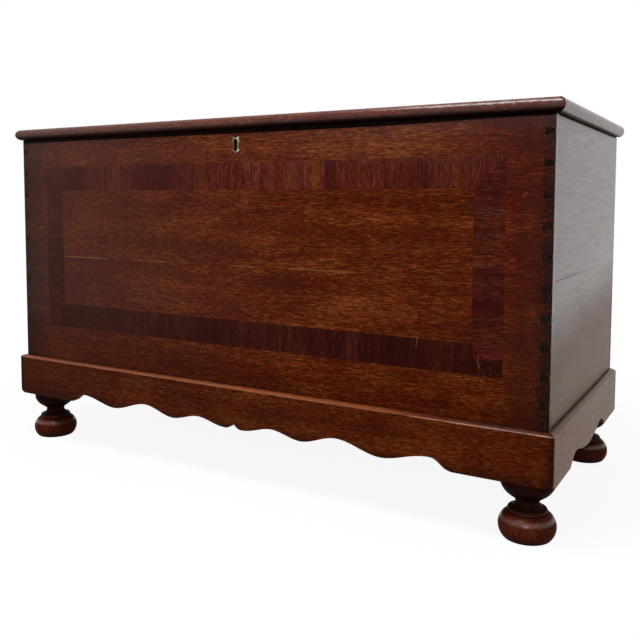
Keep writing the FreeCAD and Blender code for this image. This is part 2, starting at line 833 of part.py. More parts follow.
# ---------------------------------------------------------------- lock
def keyhole(y0, y1):
    """The keyhole as a solid from y0 to y1: a round head over a slot with a rounded foot."""
    half = keyhole_slot_width / 2
    foot_z = keyhole_head_z - keyhole_length + half

    def round_bar(radius, z):
        return cylinder(radius, Vector(lock_offset, y0, z), Vector(lock_offset, y1, z))

    slot = block(lock_offset - half, lock_offset + half, y0, y1, foot_z, keyhole_head_z)
    return join([round_bar(keyhole_head_radius, keyhole_head_z), slot, round_bar(half, foot_z)])


def lock_span(width):
    return lock_offset - width / 2, lock_offset + width / 2


def lock_recess():
    """What is cut from the front board for the lock: the case, the inside plate and the selvedge."""
    case_x = lock_span(lock_case_width)
    plate_x = lock_span(lock_plate_width)
    selvedge_y = inner_front - selvedge_depth
    case = block(*case_x, lock_case_back, inner_front, lock_case_bottom, carcase_top)
    plate = block(*plate_x, lock_cavity_front, inner_front, lock_case_bottom, carcase_top)
    selvedge = block(*plate_x, selvedge_y, inner_front, selvedge_bottom, carcase_top)
    return join([case, plate, selvedge])


def lock_case(screws):
    """The inside plate, the selvedge turned over the board's top edge, and the rim round the works."""
    case_x = lock_span(lock_case_width)
    works_x = lock_span(lock_case_width - 2 * lock_wall_thickness)
    plate_x = lock_span(lock_plate_width)
    works_bottom = lock_case_bottom + lock_wall_thickness
    plate = block(*plate_x, lock_cavity_front, inner_front, lock_case_bottom, carcase_top)
    selvedge = block(*plate_x, inner_front - selvedge_depth, inner_front, selvedge_bottom, carcase_top)
    rim = block(*case_x, lock_cavity_back, lock_cavity_front, lock_case_bottom, selvedge_bottom)
    works = block(*works_x, lock_cavity_back, lock_cavity_front, works_bottom, selvedge_bottom)
    slots = []
    half_x = loop_thickness / 2 + slot_gap
    half_y = loop_depth / 2 + slot_gap
    slot_y = (loop_y - half_y, loop_y + half_y)
    for x in loop_places:
        slots.append(block(x - half_x, x + half_x, *slot_y, loop_bottom, carcase_top))
    return cut_all(join([plate, selvedge, rim.cut(works)]), slots + screws)


def lock_cap():
    """The plate that closes the works towards the wood, pierced by the keyhole."""
    case_x = lock_span(lock_case_width)
    plate = block(*case_x, lock_case_back, lock_cavity_back, lock_case_bottom, selvedge_bottom)
    return plate.cut(keyhole(lock_case_back - beyond, lock_cavity_back + beyond))


def lock_bolt():
    """A sliding rail with two posts, each with a finger that enters a loop when the bolt is shot."""
    rail_y0 = lock_cavity_back + sliding_gap
    rail_y1 = lock_cavity_front - sliding_gap
    finger_y0 = loop_y - bolt_finger_depth / 2
    finger_y1 = loop_y + bolt_finger_depth / 2
    finger_top = finger_bottom + bolt_finger_height
    pieces = []
    roots = [x - bolt_finger_setback for x in loop_places]
    for root in roots:
        tip = root + bolt_finger_length
        pieces.append(block(root - bolt_post_width, root, finger_y0, finger_y1, rail_bottom, finger_top))
        pieces.append(block(root, tip, finger_y0, finger_y1, finger_bottom, finger_top))
    rail_end = roots[1] + bolt_finger_length
    rail = block(bolt_tail, rail_end, rail_y0, rail_y1, rail_bottom, rail_top)
    talon = block(*lock_span(bolt_post_width), rail_y0, rail_y1, rail_bottom, rail_bottom + talon_height)
    return join([rail] + pieces).cut(talon)


def bolt_spring():
    """The bowed strip spring under the bolt's tail, which rides with it."""
    y0 = loop_y - bolt_spring_depth / 2
    start = Vector(bolt_tail, y0, rail_bottom)
    middle = Vector(bolt_tail + bolt_spring_length / 2, y0, rail_bottom - bolt_spring_sag)
    end = Vector(bolt_tail + bolt_spring_length, y0, rail_bottom)
    thick = Vector(0, 0, -bolt_spring_thickness)
    strip = [
        arc(start, middle, end),
        line(end, end + thick),
        arc(end + thick, middle + thick, start + thick),
        line(start + thick, start),
    ]
    return filled(strip, Vector(0, bolt_spring_depth, 0))


def link_plate_recess():
    """The shallow housing in the lid that the link plate fills."""
    half_y = selvedge_depth / 2
    plate_x = lock_span(link_plate_length)
    plate_top = lid_bottom + link_plate_thickness
    return block(*plate_x, loop_y - half_y, loop_y + half_y, lid_bottom, plate_top)


def link_plate():
    """The plate in the lid with the two loops that drop into the lock."""
    half_y = loop_depth / 2
    half_x = loop_thickness / 2
    pieces = [link_plate_recess()]
    eyes = []
    eye_half = half_y - loop_bar
    eye_top = eye_bottom + loop_eye_height
    for x in loop_places:
        loop_x = (x - half_x, x + half_x)
        pieces.append(block(*loop_x, loop_y - half_y, loop_y + half_y, loop_bottom, lid_bottom))
        eyes.append(block(*loop_x, loop_y - eye_half, loop_y + eye_half, eye_bottom, eye_top))
    return cut_all(join(pieces), eyes + link_plate_screws())


# ---------------------------------------------------------------- escutcheon
def escutcheon_point(across, rise):
    """A point on the escutcheon's face, by its distance from the middle line and from the lower point."""
    foot_z = carcase_top - escutcheon_foot_drop
    return Vector(lock_offset + across, front - escutcheon_thickness, foot_z + rise)


def escutcheon_pins():
    """The three small pins that hold the escutcheon: one low, and one by each upper tip."""
    made = []
    places = [(0, escutcheon_low_pin_height)]
    places += [(side * escutcheon_high_pin_half_width, escutcheon_high_pin_height) for side in (-1, 1)]
    for across, rise in places:
        seat = escutcheon_point(across, rise)
        head = cylinder(escutcheon_pin_radius, seat - Vector(0, escutcheon_pin_head, 0), seat)
        shank = cylinder(escutcheon_pin_radius / 2, seat, seat + Vector(0, escutcheon_pin_length, 0))
        made.append(join([head, shank]))
    return made


def escutcheon():
    """A pierced brass plate with a pointed foot, waisted sides and two horns at its head."""
    at = escutcheon_point
    horn_half = escutcheon_horn_half_width
    top = escutcheon_height
    edges = [arc(at(-horn_half, top), at(0, escutcheon_head_height), at(horn_half, top))]
    for side in (-1, 1):
        horn = at(side * horn_half, top)
        hollow = at(side * escutcheon_horn_hollow_half_width, escutcheon_horn_hollow_height)
        shoulder = at(side * escutcheon_shoulder_half_width, escutcheon_shoulder_height)
        waist = at(side * escutcheon_waist_half_width, escutcheon_waist_height)
        hip = at(side * escutcheon_hip_half_width, escutcheon_hip_height)
        toe = at(side * escutcheon_toe_half_width, escutcheon_toe_height)
        edges.append(arc(horn, hollow, shoulder))
        edges.append(arc(shoulder, waist, hip))
        edges.append(arc(hip, toe, at(0, 0)))
    plate = filled(edges, Vector(0, escutcheon_thickness, 0))
    return cut_all(plate.cut(keyhole(front - beyond, front)), escutcheon_pins())


# ---------------------------------------------------------------- build
def build():
    os.makedirs("parts", exist_ok=True)
    nails_below = bottom_nails()
    nails_plinth = plinth_nails()
    nails = nails_below + nails_plinth
    screws_lock = lock_screws()
    screws_link = link_plate_screws()
    screws_lower = []
    screws_upper = []
    for centre_x in hinge_places.values():
        screws_lower += hinge_screws(centre_x, carcase_top, -UP)
        screws_upper += hinge_screws(centre_x, lid_bottom, UP)
    bands = crossbands()
    envelope = carcase_envelope()

    for name, side in (("left", -1), ("right", 1)):
        lower, upper = end_boards(side, envelope, nails)
        save(name + "_end_board_lower", lower)
        save(name + "_end_board_upper", upper)

    inlay = [piece for row in bands.values() for piece in row]
    keyway = keyhole(front - beyond, inner_front)
    front_cutters = inlay + nails + screws_lock + [lock_recess(), keyway] + escutcheon_pins()
    lower, upper = face_boards(front, 1, envelope, front_cutters)
    save("front_board_lower", lower)
    save("front_board_upper", upper)

    leaf_low = carcase_top - hinge_leaf_thickness
    lower_recesses = [leaf_recess(x, leaf_low, carcase_top) for x in hinge_places.values()]
    lower, upper = face_boards(back, -1, envelope, nails + screws_lower + lower_recesses)
    save("back_board_lower", lower)
    save("back_board_upper", upper)

    for name, board in zip(("front", "middle", "back"), bottom_boards(nails_below)):
        save("bottom_board_" + name, board)
    for name, row in bands.items():
        save(name, Part.makeCompound(row))

    plinth_form = plinth_envelope()
    save("plinth_front", plinth_front(plinth_form, nails_plinth))
    save("plinth_left", plinth_side(-1, plinth_form, nails_plinth))
    save("plinth_right", plinth_side(1, plinth_form, nails_plinth))
    save("plinth_back_rail", plinth_back_rail())
    save("plinth_glue_blocks", Part.makeCompound(glue_blocks()))
    save("plinth_nails", Part.makeCompound(nails_plinth))
    save("bottom_nails", Part.makeCompound(nails_below))

    turned = foot()
    for name, (x, y) in foot_places.items():
        save("foot_" + name, turned.translated(Vector(x, y, 0)))
        save("foot_block_" + name, foot_block(x, y))

    leaf_high = lid_bottom + hinge_leaf_thickness
    upper_recesses = [leaf_recess(x, lid_bottom, leaf_high) for x in hinge_places.values()]
    planks = lid_planks(screws_upper + upper_recesses + screws_link)
    for name, plank in zip(("front", "middle", "back"), planks):
        save("lid_plank_" + name, plank)
    tongue_half = panel_half + tongue_length
    grooves = [
        tongue(-tongue_half, tongue_half, panel_front, lid_back),
        tongue(-panel_half, panel_half, panel_front - tongue_length, panel_front),
    ]
    save("lid_front_moulding", lid_front_moulding(grooves + [link_plate_recess()] + screws_link))
    save("lid_left_moulding", lid_side_moulding(-1, grooves))
    save("lid_right_moulding", lid_side_moulding(1, grooves))

    for name, centre_x in hinge_places.items():
        save("hinge_lower_leaf_" + name, hinge_leaf(centre_x, 0, leaf_low, screws_lower))
        save("hinge_upper_leaf_" + name, hinge_leaf(centre_x, 1, lid_bottom, screws_upper))
        save("hinge_pin_" + name, hinge_pin(centre_x))
    save("hinge_lower_screws", Part.makeCompound(screws_lower))
    save("hinge_upper_screws", Part.makeCompound(screws_upper))

    save("lock_case", lock_case(screws_lock))
    save("lock_cap", lock_cap())
    save("lock_screws", Part.makeCompound(screws_lock))
    save("lock_bolt", lock_bolt())
    save("bolt_spring", bolt_spring())
    save("link_plate", link_plate())
    save("link_plate_screws", Part.makeCompound(screws_link))
    save("escutcheon", escutcheon())
    save("escutcheon_pins", Part.makeCompound(escutcheon_pins()))


build()
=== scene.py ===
import bpy
import math
from mathutils import Matrix, Vector


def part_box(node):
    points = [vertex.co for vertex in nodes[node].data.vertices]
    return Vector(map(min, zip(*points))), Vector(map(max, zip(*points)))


# The looks of an oak blanket chest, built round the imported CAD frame. Metres; +X runs from the chest's left
# to its right as seen from the front, -Y is the front and Z is up from the floor.

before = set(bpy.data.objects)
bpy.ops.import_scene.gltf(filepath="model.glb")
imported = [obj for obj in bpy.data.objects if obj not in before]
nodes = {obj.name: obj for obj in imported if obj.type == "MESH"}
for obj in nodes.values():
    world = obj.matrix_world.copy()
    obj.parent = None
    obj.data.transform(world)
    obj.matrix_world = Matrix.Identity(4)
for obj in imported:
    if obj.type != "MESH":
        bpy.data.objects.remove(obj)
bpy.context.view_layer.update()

# ---------------------------------------------------------------- places on the chest
X, Y, Z = 0, 1, 2
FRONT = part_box("front_board_upper")[0].y
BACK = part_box("back_board_upper")[1].y
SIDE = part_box("front_board_upper")[1].x
BOARD = 0.018
PLANK_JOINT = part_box("front_board_upper")[0].z
CARCASE_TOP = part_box("front_board_upper")[1].z
PLINTH_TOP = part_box("plinth_front")[1].z
PLINTH_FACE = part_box("plinth_front")[0].y
PLINTH_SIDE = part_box("plinth_front")[1].x
LID_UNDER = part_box("lid_plank_front")[0].z
LID_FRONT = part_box("lid_front_moulding")[0].y
LID_SIDE, NOSE_BACK, LID_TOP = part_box("lid_front_moulding")[1]
BAND_LOW, BAND_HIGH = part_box("crossband_bottom")[0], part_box("crossband_top")[1]
LOCK_FACE, LOCK_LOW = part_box("escutcheon")[0].y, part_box("escutcheon")[0].z
LOCK_MIDDLE = 0.001
HAIR = 0.0001  # how finely a mask tells a face from the ones beside it


def tint(colour, factor):
    return tuple(channel * factor for channel in colour)


# ---------------------------------------------------------------- colours, in linear light
OAK = {
    "dark": (0.054, 0.0050, 0.0008),
    "mid": (0.091, 0.0128, 0.0014),
    "light": (0.146, 0.0276, 0.0054),
    "bright": (0.220, 0.055, 0.0115),
}
MAHOGANY = {
    "dark": (0.052, 0.0048, 0.0018),
    "mid": (0.090, 0.0122, 0.0058),
    "light": (0.132, 0.0255, 0.0095),
    "bright": (0.19, 0.049, 0.018),
}
TURNED = {
    "dark": (0.052, 0.0085, 0.0030),
    "mid": (0.076, 0.0135, 0.0050),
    "light": (0.104, 0.0220, 0.0090),
    "bright": (0.15, 0.040, 0.018),
}
BARE = {
    "dark": (0.075, 0.042, 0.022),
    "mid": (0.155, 0.095, 0.052),
    "light": (0.26, 0.170, 0.100),
    "bright": (0.33, 0.225, 0.140),
}
BACKING = {
    "dark": (0.030, 0.016, 0.0090),
    "mid": (0.072, 0.041, 0.0235),
    "light": (0.130, 0.078, 0.046),
    "bright": (0.180, 0.115, 0.070),
}
# near black: real grime in joints, cracks and holes, and also painted shade in corners, under the lid and
# under the feet
GRIME_AND_SHADE = (0.008, 0.0035, 0.0025)
FOOT_UNDERSIDE_SHADE = tint(GRIME_AND_SHADE, 0.6)
DEEP_GRIME_AND_SHADE = tint(GRIME_AND_SHADE, 0.5)
OPENED = tint(GRIME_AND_SHADE, 0.4)
# painted shadow under the lid's edge
LID_SHADOW = tint(GRIME_AND_SHADE, 0.35)
# painted shade low on the front
LOW_SHADE_OAK = tint(OAK["dark"], 0.55)
SHADED_OAK = tint(OAK["dark"], 0.62)
DARK_MARK = tint(OAK["dark"], 0.22)
DARK_SCRATCH = tint(OAK["dark"], 0.18)
# painted haze and shade: a greyer, darker tone laid over the left of the front, its crossbands and its plinth
HAZE_AND_SHADE_LEFT = (0.050, 0.0150, 0.0080)
BAND_HAZE_AND_SHADE = tint(HAZE_AND_SHADE_LEFT, 0.62)
# painted shade on the lid to the left
LID_SHADE_LEFT = (0.050, 0.0120, 0.0080)
DULL_END = (0.064, 0.034, 0.014)
# painted reflection of a brown floor on the ends' lower part
LOW_FLOOR_REFLECTION = (0.185, 0.070, 0.018)
BLEACHED_PLINTH = (0.232, 0.082, 0.020)
# painted shadow where the ends meet the plinth's top
PLINTH_SHADOW = (0.075, 0.012, 0.005)
JOINT_LINE = (0.33, 0.130, 0.035)
# pale wear for the light marks, and also the painted highlight along the plinth's arris
PALE_WEAR_AND_HIGHLIGHT = (0.36, 0.115, 0.045)
# painted reflection on the plinth's sloping top
SLOPE_REFLECTION = tint(PALE_WEAR_AND_HIGHLIGHT, 0.80)
NICK = (0.42, 0.27, 0.19)
# painted highlight on the bun's shoulder
BUN_HIGHLIGHT = (0.26, 0.120, 0.080)
FOOT_BLACK = (0.0130, 0.0026, 0.0020)
# painted shade round the keyhole
KEYHOLE_SHADE = (0.010, 0.0070, 0.0045)
END_GRAIN_LEFT = [(0.30, (0.026, 0.0075, 0.0040)), (0.70, (0.064, 0.0180, 0.0090))]
END_GRAIN_RIGHT = [(0.40, (0.0060, 0.0034, 0.0022)), (0.54, (0.0150, 0.0078, 0.0046)),
                   (0.68, (0.040, 0.024, 0.0130))]
# metals, each bright and then dull
IRON = (0.045, 0.038, 0.034), (0.050, 0.024, 0.013)
NAIL_FILLING = (0.060, 0.0080, 0.0020), (0.030, 0.0046, 0.0020)  # stained to match the oak
STEEL = (0.42, 0.40, 0.38), (0.11, 0.085, 0.07)
BRASS = (0.48, 0.33, 0.13), (0.115, 0.070, 0.030)
PLATE_BRASS = (0.62, 0.47, 0.34), (0.042, 0.031, 0.015)
# filters, which multiply the colour under them
OLIVE, RED = (0.99, 1.06, 1.02), (1.02, 0.89, 0.95)
WARM, COOL = (1.05, 1.06, 0.74), (0.93, 0.86, 1.28)
CRIMSON = (1.0, 0.80, 1.25)

PLAIN_GLOSS = 1.06  # the index of refraction that leaves the gloss to the coat
FOOT_GLOSS = 1.03


# ---------------------------------------------------------------- shader helpers
class Paint:
    """One material under construction: each method adds shader nodes and returns an output socket."""

    def __init__(self, name):
        self.material = bpy.data.materials.new(name)
        self.material.use_nodes = True
        self.tree = self.material.node_tree
        self.tree.nodes.clear()
        self.shader = self.node("ShaderNodeBsdfPrincipled")
        output = self.node("ShaderNodeOutputMaterial")
        self.feed(output.inputs[0], self.shader.outputs[0])
        self.place = self.node("ShaderNodeTexCoord").outputs["Object"]
        self.at = self.split(self.place)

    def node(self, kind, **settings):
        made = self.tree.nodes.new(kind)
        for key, value in settings.items():
            setattr(made, key, value)
        return made

    def feed(self, socket, value):
        if isinstance(value, bpy.types.NodeSocket):
            self.tree.links.new(value, socket)
        elif isinstance(value, (tuple, list)) and socket.type == "RGBA" and len(value) == 3:
            socket.default_value = (*value, 1.0)
        else:
            socket.default_value = value

    def split(self, vector):
        made = self.node("ShaderNodeSeparateXYZ")
        self.feed(made.inputs[0], vector)
        return made.outputs

    # numbers
    def calculate(self, operation, a, b=0.0):
        made = self.node("ShaderNodeMath", operation=operation)
        self.feed(made.inputs[0], a)
        self.feed(made.inputs[1], b)
        return made.outputs[0]

    def add(self, a, b):
        return self.calculate("ADD", a, b)

    def less(self, a, b):
        return self.calculate("SUBTRACT", a, b)

    def times(self, a, b):
        return self.calculate("MULTIPLY", a, b)

    def larger(self, a, b):
        return self.calculate("MAXIMUM", a, b)

    def magnitude(self, value):
        return self.calculate("ABSOLUTE", value)

    def swing(self, pattern, amount):
        """A pattern between 0 and 1, turned into one that swings round 0."""
        return self.times(self.less(pattern, 0.5), amount)

    def varied(self, pattern, amount):
        """A factor that swings round 1 with the pattern."""
        return self.add(self.swing(pattern, amount), 1.0)

    def mix_number(self, a, b, share):
        made = self.node("ShaderNodeMix", data_type="FLOAT")
        self.feed(made.inputs[0], share)
        self.feed(made.inputs[2], a)
        self.feed(made.inputs[3], b)
        return made.outputs[0]

    # masks
    def fade(self, value, start, end, low=0.0, high=1.0):
        """A smooth step of the value from low at start to high at end."""
        made = self.node("ShaderNodeMapRange", interpolation_type="SMOOTHSTEP")
        for socket, number in zip(made.inputs, (value, start, end, low, high)):
            self.feed(socket, number)
        return made.outputs[0]

    def within(self, value, low, high, soft):
        """1 between low and high, with soft ends."""
        rise = self.fade(value, low - soft, low + soft)
        return self.times(rise, self.fade(value, high + soft, high - soft))

    def line(self, value, centre, far, near):
        """0 at the far distance from the centre, either side, and 1 at the near one."""
        return self.fade(self.magnitude(self.less(value, centre)), far, near)

    def high_face(self, value, face):
        """1 on the face that ends a board at its high side, and beyond it."""
        return self.fade(value, face - 3 * HAIR, face - HAIR)

    def low_face(self, value, face):
        """1 on the face that ends a board at its low side, and before it."""
        return self.fade(value, face + 3 * HAIR, face + HAIR)

    def stroke(self, start, end, width, where=None):
        """1 along a straight stroke between two places, fading out at its half width."""
        start, run = Vector(start), Vector(end) - Vector(start)
        offset = self.vector("SUBTRACT", where or self.place, start)
        share = self.vector("DOT_PRODUCT", offset, run / run.length_squared, "Value")
        share = self.calculate("MINIMUM", self.larger(share, 0.0), 1.0)
        nearest = self.node("ShaderNodeVectorMath", operation="SCALE")
        self.feed(nearest.inputs[0], run)
        self.feed(nearest.inputs["Scale"], share)
        distance = self.vector("DISTANCE", offset, nearest.outputs[0], "Value")
        return self.fade(distance, width / 2, width / 8)

    def marks(self, strokes):
        """All the strokes together, a little ragged."""
        centred = self.vector("SUBTRACT", self.place, (0.0015, 0.0015, 0.0015))
        ragged = self.pushed(centred, self.noise(self.place, scale=160.0, detail=2.0), amount=0.003)
        total = 0.0
        for start, end, width in strokes:
            total = self.larger(total, self.stroke(start, end, width, ragged))
        return total

    def facing(self, axis):
        """How far the surface faces along an axis, from -1 to 1."""
        return self.split(self.node("ShaderNodeNewGeometry").outputs["Normal"])[axis]

    def darkening(self, distance):
        """1 in the open and 0 deep in a corner or crack of about that size."""
        made = self.node("ShaderNodeAmbientOcclusion", samples=8)
        self.feed(made.inputs["Distance"], distance)
        return made.outputs["AO"]

    # places and patterns
    def vector(self, operation, a, b, output="Vector"):
        made = self.node("ShaderNodeVectorMath", operation=operation)
        self.feed(made.inputs[0], a)
        self.feed(made.inputs[1], b)
        return made.outputs[output]

    def pushed(self, where, by, amount):
        """The place pushed along by a pattern."""
        made = self.node("ShaderNodeVectorMath", operation="MULTIPLY_ADD")
        self.feed(made.inputs[0], by)
        self.feed(made.inputs[1], (amount, amount, amount))
        self.feed(made.inputs[2], where)
        return made.outputs[0]

    def warp(self, scale, shift, where=None):
        """The place stretched by scale and moved by shift."""
        made = self.node("ShaderNodeMapping")
        self.feed(made.inputs["Vector"], where or self.place)
        self.feed(made.inputs["Scale"], scale)
        self.feed(made.inputs["Location"], shift)
        return made.outputs[0]

    def noise(self, where, scale, detail=3.0, rough=0.5, twist=0.0):
        made = self.node("ShaderNodeTexNoise")
        self.feed(made.inputs["Vector"], where)
        self.feed(made.inputs["Scale"], scale)
        self.feed(made.inputs["Detail"], detail)
        self.feed(made.inputs["Roughness"], rough)
        self.feed(made.inputs["Distortion"], twist)
        return made.outputs[0]

    def chance(self, value):
        """An unchanging random number for each whole value."""
        made = self.node("ShaderNodeTexWhiteNoise", noise_dimensions="1D")
        self.feed(made.inputs["W"], value)
        return made.outputs["Value"]

    # colours
    def mix(self, a, b, share, blend="MIX"):
        made = self.node("ShaderNodeMix", data_type="RGBA", blend_type=blend)
        self.feed(made.inputs[0], share)
        self.feed(made.inputs[6], a)
        self.feed(made.inputs[7], b)
        return made.outputs[2]

    def cover(self, colour, over, mask, strength):
        return self.mix(colour, over, self.times(mask, strength))

    def filtered(self, colour, by, share=1.0):
        return self.mix(colour, by, share, "MULTIPLY")

    def ramp(self, value, stops):
        made = self.node("ShaderNodeValToRGB")
        elements = made.color_ramp.elements
        while len(elements) < len(stops):
            elements.new(0.5)
        for element, (position, colour) in zip(elements, stops):
            element.position = position
            element.color = (*colour, 1.0)
        self.feed(made.inputs[0], value)
        return made.outputs[0]

    def finish(self, colour, roughness, height, depth, edge, **settings):
        """The material itself: height is relief that is depth deep, and edges look rounded by edge."""
        self.feed(self.shader.inputs["Base Color"], colour)
        self.feed(self.shader.inputs["Roughness"], roughness)
        rounded = self.node("ShaderNodeBevel", samples=4)
        self.feed(rounded.inputs["Radius"], edge)
        bump = self.node("ShaderNodeBump")
        self.feed(bump.inputs["Strength"], 1.0)
        self.feed(bump.inputs["Distance"], depth)
        self.feed(bump.inputs["Height"], height)
        self.feed(bump.inputs["Normal"], rounded.outputs[0])
        self.feed(self.shader.inputs["Normal"], bump.outputs[0])
        self.feed(self.shader.inputs["Coat Normal"], bump.outputs[0])
        for key, value in settings.items():
            self.feed(self.shader.inputs[key.replace("_", " ")], value)
        return self.material


# ---------------------------------------------------------------- wood
FIGURE_SHARE, STREAK_SHARE, FIBRE_SHARE, PATINA_SHARE = 0.95, 0.75, 2.6, 1.1
TONE_STOPS = {"dark": 0.18, "mid": 0.5, "light": 0.82, "bright": 1.0}


class Wood(Paint):
    """A board: its grain runs along one axis, and seed moves the pattern so that no two boards are alike.

    figure, streak and fibre are how fine the three patterns are, and reach is how much longer than wide."""

    def __init__(self, name, along, seed, figure=30.0, streak=230.0, fibre=780.0, reach=(16.0, 13.0, 10.0)):
        super().__init__(name)
        self.shift = (seed * 1.37, seed * 2.11, seed * 0.73)
        bend = self.drawn(along, reach=8.0, scale=6.0, detail=2.0)
        bent = self.pushed(self.place, bend, amount=0.004)
        self.figure = self.drawn(along, reach[0], figure, detail=4.0, rough=0.6, twist=0.1, where=bent)
        self.streak = self.drawn(along, reach[1], streak, detail=3.0, rough=0.6, where=bent)
        self.fibre = self.drawn(along, reach[2], fibre, detail=2.0, rough=0.65, where=bent)
        self.hue = self.drawn(along, reach=9.0, scale=75.0, detail=3.0, rough=0.6, where=bent)
        self.patina = self.drawn(along, reach=2.5, scale=13.0, detail=4.0, rough=0.6)
        pitted = self.drawn(along, reach=11.0, scale=560.0, detail=0.0, rough=0.6, where=bent)
        self.pores = self.fade(pitted, 0.58, 0.66)

    def drawn(self, along, reach, scale, detail=3.0, rough=0.5, twist=0.0, where=None):
        """A noise that is as many times longer than wide as reach says."""
        squeeze = [1.0] * 3
        squeeze[along] = 1.0 / reach
        return self.noise(self.warp(squeeze, self.shift, where), scale, detail, rough, twist)

    def cloud(self, scale, detail=3.0, rough=0.5):
        """A noise that runs no way in particular."""
        return self.noise(self.warp((1, 1, 1), self.shift), scale, detail, rough)

    def grain(self, tones, contrast=1.0, offset=None):
        """The board's colour from its figure, streaks, fibres, patina and pores."""
        tone = self.add(self.swing(self.figure, FIGURE_SHARE * contrast), 0.5)
        tone = self.add(tone, self.swing(self.streak, STREAK_SHARE * contrast))
        tone = self.add(tone, self.swing(self.fibre, FIBRE_SHARE * contrast))
        tone = self.add(tone, self.swing(self.patina, PATINA_SHARE * contrast))
        if offset is not None:
            tone = self.add(tone, offset)
        colour = self.ramp(tone, [(stop, tones[key]) for key, stop in TONE_STOPS.items()])
        olive, red = self.filtered(colour, OLIVE), self.filtered(colour, RED)
        colour = self.mix(red, olive, self.fade(self.hue, 0.34, 0.66))
        return self.cover(colour, tint(tones["dark"], 0.55), self.pores, 0.6)

    def relief(self):
        """Height from the open grain: fibres stand up and pores sink."""
        ridges = self.add(self.times(self.fibre, 0.6), self.times(self.streak, 0.5))
        return self.less(ridges, self.times(self.pores, 0.35))


def polished(wood, colour, coat, roughness=0.36, coat_roughness=0.24, ior=PLAIN_GLOSS, depth=0.00016,
             edge=0.0007, shade_reach=0.009):
    """The old wax polish, with painted shade darkening the corners and cracks. The coat is how much gloss the
    wax has kept.
    """
    # painted shade: ambient occlusion mixes the near black colour into corners and cracks
    unshaded = wood.fade(wood.darkening(shade_reach), 0.35, 0.95, 0.20, 1.0)
    colour = wood.mix(GRIME_AND_SHADE, colour, unshaded)
    shine = wood.add(wood.swing(wood.patina, 0.22), roughness)
    shine = wood.add(shine, wood.swing(wood.fibre, 0.16))
    return wood.finish(colour, shine, wood.relief(), depth, edge, IOR=ior, Coat_Weight=coat,
                       Coat_Roughness=coat_roughness)


def dry_oak(name, along, seed, tones=BARE):
    """Wood that was never polished."""
    wood = Wood(name, along, seed)
    return wood.finish(wood.grain(tones), roughness=0.78, height=wood.relief(), depth=0.0003, edge=0.0007,
                       IOR=1.3)


def inside(wood, outer, mask):
    """Bare wood where the mask is 1 and the outer finish elsewhere."""
    return wood.mix(outer, wood.grain(BARE), mask)


# ---------------------------------------------------------------- the front
def on_front(*strokes):
    """Strokes on the front's face, each from x, z to x, z and of a width."""
    return [((x0, FRONT, z0), (x1, FRONT, z1), width) for x0, z0, x1, z1, width in strokes]


BAND_SCRATCH = on_front((0.062, 0.630, 0.018, 0.589, 0.0026))
DARK_MARKS = BAND_SCRATCH + on_front(  # scratches, a shake, knots and dark figure
    (-0.114, 0.569, -0.140, 0.549, 0.0022),
    (0.389, 0.268, 0.381, 0.229, 0.0030),
    (0.396, 0.217, 0.399, 0.208, 0.0050),
    (0.467, 0.268, 0.474, 0.248, 0.0020),
    (0.385, 0.369, 0.387, 0.356, 0.0060),
    (0.256, 0.484, 0.281, 0.484, 0.0045),
    (0.321, 0.480, 0.387, 0.477, 0.0022),
    (-0.198, 0.224, -0.199, 0.198, 0.0020),
    (-0.078, 0.277, -0.078, 0.246, 0.0018),
    (-0.150, 0.459, -0.118, 0.454, 0.0035),
)
BAND_CHIPS = on_front(
    (0.384, 0.324, 0.381, 0.308, 0.0018),
    (0.491, 0.296, 0.494, 0.284, 0.0024),
)
LIGHT_MARKS = on_front(
    (0.560, 0.566, 0.567, 0.573, 0.0024),
    (0.396, 0.4235, 0.478, 0.4235, 0.0018),
) + BAND_CHIPS + on_front(
    (0.286, 0.502, 0.294, 0.492, 0.0022),
    (0.294, 0.492, 0.309, 0.485, 0.0026),
    (0.318, 0.4235, 0.352, 0.4240, 0.0018),
    (0.217, 0.4290, 0.246, 0.4285, 0.0030),
    (-0.190, 0.452, -0.150, 0.446, 0.0022),
)
SMEAR = on_front((0.022, 0.640, 0.022, 0.545, 0.022))[0]

# Where the front's looks change: two numbers are the start and end of a fade from 0 to 1, four also give the
# values at its start and end, and three are a span's low end, high end and softness.
NEAR_TOP = (0.60, 0.66)
# spans of painted light near the top and towards the right
TOP_PAINTED_LIGHT, RIGHT_PAINTED_LIGHT = (-0.30, 0.50, 0.15), (0.15, 0.47, 0.10)
# where the painted haze and shade to the left begins and ends
HAZE_AND_SHADE_TO_LEFT = (0.20, -0.60)
SHADE_AT_PLINTH = (0.275, 0.195)
DARK_TO_RIGHT, DARK_BY_HEIGHT = (0.520, 0.565), (0.40, 0.32, 0.48, 0.66)
CRIMSON_ACROSS, CRIMSON_UP = (0.47, 0.53), (0.36, 0.44)
DARK_TO_LEFT = (-0.520, -0.585)
CORNER_DARK = (0.582, 0.603)
CORNER_BY_SIDE, CORNER_BY_HEIGHT = (-0.2, 0.2, 0.50, 1.0), (0.62, 0.46, 0.58, 0.84)
NICKED_EDGE = (0.600, 0.607)
# the painted shadow under the lid's edge: its strength, and how far down it reaches across the front
LID_SHADOW_STRENGTH = 0.97
LID_SHADOW_LEFT, LID_SHADOW_RIGHT = (-0.45, 0.10, 0.0068, 0.0078), (0.28, 0.56, 0.0, -0.0042)
OPEN_JOINT = (-0.52, 0.30, 0.12)
HAZE_ACROSS, HAZE_UP = (0.30, -0.55, 0.055, 0.225), (0.20, 0.36, 0.30, 1.0)
HAZE_TOP_RIGHT, HAZE_RIGHT_EDGE = (0.10, 0.52, 0.16), (0.50, 0.58, 0.0, 0.05)
UNDER_LID, UNDER_LID_ACROSS = (0.655, 0.690), (0.10, 0.45)


